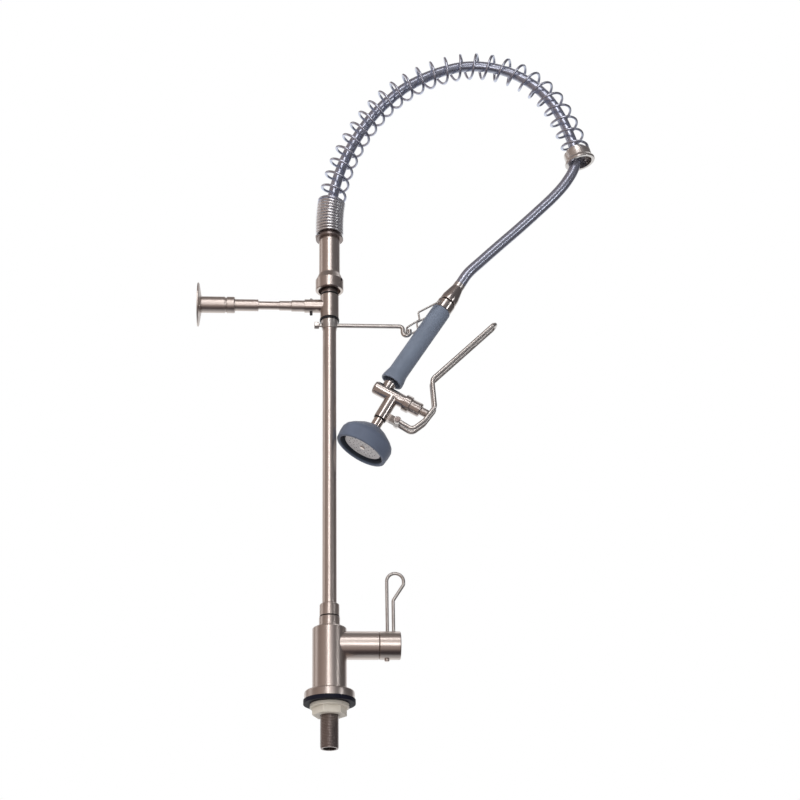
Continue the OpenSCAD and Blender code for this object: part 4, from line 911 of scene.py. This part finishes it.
class FAUCET_OT_squeeze_lever(FaucetOperator, bpy.types.Operator):
    """Bends the squeeze lever from one rod and gives it an eye at each end"""
    bl_idname = "faucet.squeeze_lever"
    bl_label = "Squeeze Lever"

    def make(self, scene):
        near = in_plane(SQUEEZE_PATH, -SQUEEZE_HALF_WIDTH)
        far = in_plane(reversed(SQUEEZE_PATH), SQUEEZE_HALF_WIDTH)
        tip = SQUEEZE_HALF_WIDTH - 0.25
        radii = [*SQUEEZE_BENDS, tip, tip, *reversed(SQUEEZE_BENDS)]
        obj = round_wire(bent_path(near + far, radii), SQUEEZE_RADIUS, 16, GUN)
        eyes, pins = [], []
        for y in (-SQUEEZE_HALF_WIDTH, SQUEEZE_HALF_WIDTH):
            spot = GUN @ Matrix.Translation(
                (LEVER_PIN[0] * MM, y * MM, LEVER_PIN[1] * MM)) @ Matrix.Rotation(
                    math.pi / 2, 4, "X")
            eye = cylinder(EYE_RADIUS, 2 * SQUEEZE_RADIUS, spot, 48)
            break_edges(eye, 0.7 * MM, 3)
            eyes.append(eye)
            pins.append(cylinder(PIN_HOLE_RADIUS, 4 * SQUEEZE_RADIUS, spot, 32))
        united(obj, eyes)
        united(obj, pins, "DIFFERENCE")
        # Painted light: the lever takes a copy of the bright rod colour made 15% paler
        steel = drawn_wire("lever_rod", shade(scene.faucet_steel.rod, 1.15), 0.32)
        finish_piece(obj, "squeeze_lever_rod", steel, ["squeeze_lever"], 40)


class FAUCET_OT_shank(FaucetOperator, bpy.types.Operator):
    """Cuts the thread of the inlet shank"""
    bl_idname = "faucet.shank"
    bl_label = "Threaded Shank"

    def make(self, scene):
        obj = self.thread()
        bpy.context.view_layer.update()
        bore = cylinder(SHANK_BORE, 90, place(0, -10, 0), 64)
        united(obj, [bore], "DIFFERENCE")
        thread = thread_steel("cut_thread", scene.faucet_steel.dark, THREAD_PITCH)
        finish_piece(obj, "threaded_shank", thread, ["shank"], 50)

    def thread(self):
        """A rod with V threads: a wider one from under the nut up, then plain"""
        pitch, low = THREAD_PITCH, SHANK_FOOT
        foot = LOWER_THREAD - THREAD_DEPTH
        outline = [(0, low), (foot, low), (foot, low + 0.5)]
        z = low + 0.9
        for crest, end in ((LOWER_THREAD, THREAD_STEP), (UPPER_THREAD, THREAD_TOP)):
            root = crest - THREAD_DEPTH
            while z + pitch < end:
                outline += [(root, z), (crest, z + 0.4 * pitch), (crest, z + 0.6 * pitch)]
                z += pitch
            outline.append((root, end))
            z = end
        outline += [(UPPER_THREAD, THREAD_TOP + 1), (UPPER_THREAD, SHANK_TOP), (0, SHANK_TOP)]
        obj = turned(outline, sides=72)
        lead_in(obj, pitch * MM, low * MM, THREAD_STEP * MM)
        return obj


def lead_in(obj, pitch, low, high):
    """Lifts a ringed thread by its pitch over one turn, so that its rings join as a helix,
    and eases out the lift at its two ends. Lengths are in metres"""
    ease = 2 * pitch
    inside = 8.5 * MM
    for v in obj.data.vertices:
        if low < v.co.z < high and v.co.xy.length > inside:
            share = min(1.0, (v.co.z - low) / ease, (high - v.co.z) / ease)
            v.co.z += pitch * (math.atan2(v.co.y, v.co.x) / math.tau) * max(0, share)
    obj.data.update()


class FAUCET_OT_machined(FaucetOperator, bpy.types.Operator):
    """Deburrs the turned and milled metal pieces and gives them their lathe marks"""
    bl_idname = "faucet.machined"
    bl_label = "Machined Pieces"

    def make(self, scene):
        settings = scene.faucet_steel
        steel, dark, gun = settings.body, settings.dark, settings.gun
        rough = settings.roughness
        bright = rough - 0.09
        # How far out and below what height the outlet's lug is darkened, as painted shade
        lever_lug_shade = (10.5, -18)
        finishes = {key: lathe_steel(*recipe) for key, *recipe in (
            ("upright", "steel_upright", steel, rough, UPRIGHT),
            ("base", "steel_base", steel, rough, UPRIGHT, (BASE_BARREL, 19.5)),
            ("barrel", "steel_barrel", steel, rough, BASE_BARREL),
            ("tee", "steel_tee", steel, rough, UPRIGHT, (WALL_ARM, 11.2)),
            ("wall", "steel_wall_arm", steel, rough + 0.08, WALL_ARM),
            ("collar", "dark_steel_upright", dark, rough + 0.04, UPRIGHT),
            ("bright", "bright_steel_upright", settings.rod, rough, UPRIGHT),
            ("handle", "gun_metal_handle", gun, bright, HANDLE),
            ("outlet", "gun_metal_outlet", gun, bright, GUN, (GUN_BARREL, 8), lever_lug_shade),
            ("bonnet", "gun_metal_barrel", gun, bright, GUN_BARREL),
            ("neck", "steel_outlet", steel, bright, GUN),
            ("ferrule", "steel_handle", settings.rod, rough, HANDLE),
            ("ring", "bright_steel_ring", settings.rod, rough, ARCH_END))}
        # Solids and their finish, then the record's material slot and how much wider their
        # edges are, if those aren't steel and 1
        for solids in (
                ("base_flange", "upright"), ("valve_body", "base"), ("lever_hub", "barrel"),
                ("hub_screw", "upright", "dark_steel", 2),
                ("swivel_neck riser_collar riser", "upright"), ("hook_collar", "bright"),
                ("collar_screw", "bright", "steel", 2), ("tee", "tee"),
                ("arm_adapter arm_rod arm_tube lock_ring arm_sleeve wall_flange", "wall"),
                ("hose_adapter", "collar", "dark_steel"),
                ("coupling_nut upper_sleeve", "upright"), ("spring_seat", "collar"),
                ("spring_end_ring", "ring", "gun_metal", 1.5), ("hose_ferrule", "ferrule"),
                ("swivel_nut", "handle", "gun_metal", 1.2),
                ("handle_collar", "handle", "gun_metal"),
                ("handle_tube", "ferrule", "steel", 0.5),
                ("spray_valve_body", "outlet", "gun_metal"), ("plunger", "bonnet"),
                ("bonnet", "bonnet", "gun_metal"), ("lever_pin", "collar"),
                ("spray_neck", "neck", "steel", 0.5),
                ("spray_cup", "outlet", "gun_metal", 0.5), ("face_screw", "neck")):
            self.deburr(settings.edge, finishes, *solids)

    def deburr(self, edge, finishes, nodes, finish, slot="steel", wider=1):
        """Deburrs solids that share a finish"""
        for node in nodes.split():
            deburred(node, node + "_deburred", finishes[finish], edge * wider)


class FAUCET_OT_deck_fittings(FaucetOperator, bpy.types.Operator):
    """Makes the cream mounting nut, the deck gasket and the black rings of the column"""
    bl_idname = "faucet.deck_fittings"
    bl_label = "Deck Fittings and Seals"

    def make(self, scene):
        settings = scene.faucet_rubber
        cream = moulded_plastic("cream_nut", settings.nut, 0.42)
        deburred("mounting_nut", "mounting_nut_moulded", cream, 0.8 * MM, 3)
        black = rubber("black_seal", settings.seal, 0.42, sheen=0, shine=0.3)
        blue_black = rubber("blue_black_gasket", settings.gasket, 0.5, sheen=0, shine=0.2)
        seals = [(node, black, "seal") for node in (
            "collar_seal", "tee_washer", "top_seal", "gun_seals")]
        for node, finish, slot in (("deck_gasket", blue_black, "gasket"), *seals):
            deburred(node, node + "_rubber", finish, settings.edge / 4, 3)


class FAUCET_OT_grip(FaucetOperator, bpy.types.Operator):
    """Turns the rubber grip with its flared foot"""
    bl_idname = "faucet.grip"
    bl_label = "Grip"

    def make(self, scene):
        # Heights along the handle and radii, in millimetres
        start, end, flare_len = 16, 136, 18
        outer, flare, bore = 12.3, 14.5, 6.02
        steps = 16
        outline = [(bore, start + flare_len - 2), (outer - 0.3, start + flare_len - 2),
                   (flare - 2.5, start), (flare - 0.6, start), (flare, start + 0.6)]
        outline += [(outer + (flare - outer) * (1 + math.cos(math.pi * t / steps)) / 2,
                     start + 1.5 + (flare_len - 1.5) * t / steps) for t in range(1, steps + 1)]
        outline += [(outer, end - 1.5), (outer - 1.5, end), (bore, end)]
        obj = turned(outline, HANDLE)
        break_edges(obj, scene.faucet_rubber.edge, 4, 25)
        finish = rubber("grip_rubber", scene.faucet_rubber.grip, 0.46, HANDLE)
        finish_piece(obj, "grip_sleeve", finish, ["grip"], 45)


class FAUCET_OT_bumper(FaucetOperator, bpy.types.Operator):
    """Turns the rubber bumper round the spray face"""
    bl_idname = "faucet.bumper"
    bl_label = "Bumper"

    def make(self, scene):
        # Heights along the gun and radii, in millimetres
        top, groove, rim = -47.5, -74.3, -83.6
        cup_top = top - 12.5
        r, lip, face, neck, hole = 34, 29.2, 24.02, 8.75, 6.77
        outline = [
            (hole, top), (neck, top), (r - 15.5, top - 5), (r - 6, top - 12),
            (r - 1.7, top - 16.3), (r, top - 20.5), (r, top - 27), (r - 1, rim + 0.6),
            (r - 2.2, rim), (lip + 0.5, rim), (lip, rim + 0.5), (lip, groove), (face, groove),
            (face, cup_top - 5), (face - 5, cup_top), (hole, cup_top)]
        obj = turned(outline, GUN)
        break_edges(obj, scene.faucet_rubber.edge, 4, 8)
        # The recess inside the bumper's lip is darkened as painted shade
        finish = rubber("bumper_rubber", scene.faucet_rubber.bumper, 0.48, GUN,
                        shaded_recess=(lip + 0.3, rim + 0.6, groove + 1))
        finish_piece(obj, "bumper_rubber", finish, ["bumper"], 45)


class FAUCET_OT_spray_face(FaucetOperator, bpy.types.Operator):
    """Finishes the drilled spray face"""
    bl_idname = "faucet.spray_face"
    bl_label = "Spray Face"

    def make(self, scene):
        finish = moulded_plastic("pale_face", scene.faucet_rubber.face, 0.35)
        self.paint_hole_shade(deburred("spray_face", "spray_face_disc", finish, 0.15 * MM))

    def paint_hole_shade(self, obj):
        """Paints the walls of the spray holes nearly black, as painted shade inside the holes"""
        # Painted shade: a near-black finish for the hole walls
        dark = moulded_plastic("painted_hole_shade", (0.03, 0.03, 0.035, 1), 0.3)
        obj.data.materials.append(dark.material)
        along = GUN.to_3x3() @ Vector((0, 0, 1))
        screw, edge = 3.5 * MM, 22.5 * MM
        for side in obj.data.polygons:
            spot = GUN.inverted() @ side.center
            is_wall = abs(side.normal.dot(along)) < 0.85
            if is_wall and screw < spot.xy.length < edge:
                side.material_index = 1


class FAUCET_OT_screws(FaucetOperator, bpy.types.Operator):
    """Gives the grub screws their hexagon sockets"""
    bl_idname = "faucet.screws"
    bl_label = "Grub Screws"

    def make(self, scene):
        black = lathe_steel("black_screw", (0.06, 0.06, 0.065, 1), 0.4, UPRIGHT)
        turn, out, height = math.radians(-32), 17.2 * MM, 544 * MM
        side = Matrix.Rotation(turn, 4, "Z") @ Matrix.Translation((out, 0, height))
        socket = cylinder(1.1, 3, side @ Matrix.Rotation(math.pi / 2, 4, "Y"), sides=6)
        low, high = (c.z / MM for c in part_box("socket_screws"))
        pair = [cylinder(1.0, 3, place(-23, z, 0), sides=6) for z in (low, high)]
        for node, name, sockets in (
                ("coupling_screw", "coupling_grub_screw", [socket]),
                ("socket_screws", "socket_grub_screws", pair)):
            obj = united(copy_of(node), sockets, "DIFFERENCE")
            break_edges(obj, 0.2 * MM)
            finish_piece(obj, name, black, [node])


class FAUCET_OT_inner_finishes(FaucetOperator, bpy.types.Operator):
    """Paints the solids that stay as they are, inside the valves"""
    bl_idname = "faucet.inner_finishes"
    bl_label = "Inner Finishes"

    def make(self, scene):
        brass = lathe_steel("turned_brass", scene.faucet_steel.brass, 0.3, BASE_BARREL)
        ceramic = moulded_plastic("lapped_ceramic", (0.82, 0.8, 0.75, 1), 0.16)
        plastic = moulded_plastic("cartridge_plastic_moulded", (0.6, 0.57, 0.48, 1), 0.4)
        seal = rubber("inner_seal", scene.faucet_rubber.seal, 0.4)
        for finish, nodes in (
                (brass, ("spindle", "cartridge_nut", "hose_connector")),
                (ceramic, ("fixed_disc", "moving_disc")), (plastic, ("cartridge_body",)),
                (seal, ("seat_seal", "swivel_o_rings", "seat_washer"))):
            for node in nodes:
                frame["nodes"][node].material_slots[0].material = finish.material


class FAUCET_PT_panel(bpy.types.Panel):
    """Lists the faucet's pieces in the sidebar"""
    bl_label = "Pre-rinse Faucet"
    bl_space_type = "VIEW_3D"
    bl_region_type = "UI"
    bl_category = "Faucet"

    def draw(self, context):
        for operator in OPERATORS:
            self.layout.operator(operator.bl_idname)


SETTINGS = {"faucet_steel": FaucetSteel, "faucet_rubber": FaucetRubber,
            "faucet_hose": FaucetHose, "faucet_spring": FaucetSpring,
            "faucet_stage": FaucetStage}
OPERATORS = (
    FAUCET_OT_stage, FAUCET_OT_hose, FAUCET_OT_springs, FAUCET_OT_wires,
    FAUCET_OT_squeeze_lever, FAUCET_OT_shank, FAUCET_OT_machined, FAUCET_OT_deck_fittings,
    FAUCET_OT_grip, FAUCET_OT_bumper, FAUCET_OT_spray_face, FAUCET_OT_screws,
    FAUCET_OT_inner_finishes)
CLASSES = (*SETTINGS.values(), *OPERATORS, FAUCET_PT_panel)


def register():
    for cls in CLASSES:
        bpy.utils.register_class(cls)
    for name, cls in SETTINGS.items():
        setattr(bpy.types.Scene, name, PointerProperty(type=cls))


def unregister():
    for name in SETTINGS:
        delattr(bpy.types.Scene, name)
    for cls in reversed(CLASSES):
        bpy.utils.unregister_class(cls)


def main():
    register()
    for operator in OPERATORS:
        group, name = operator.bl_idname.split(".")
        getattr(getattr(bpy.ops, group), name)()


if __name__ == "__main__":
    main()
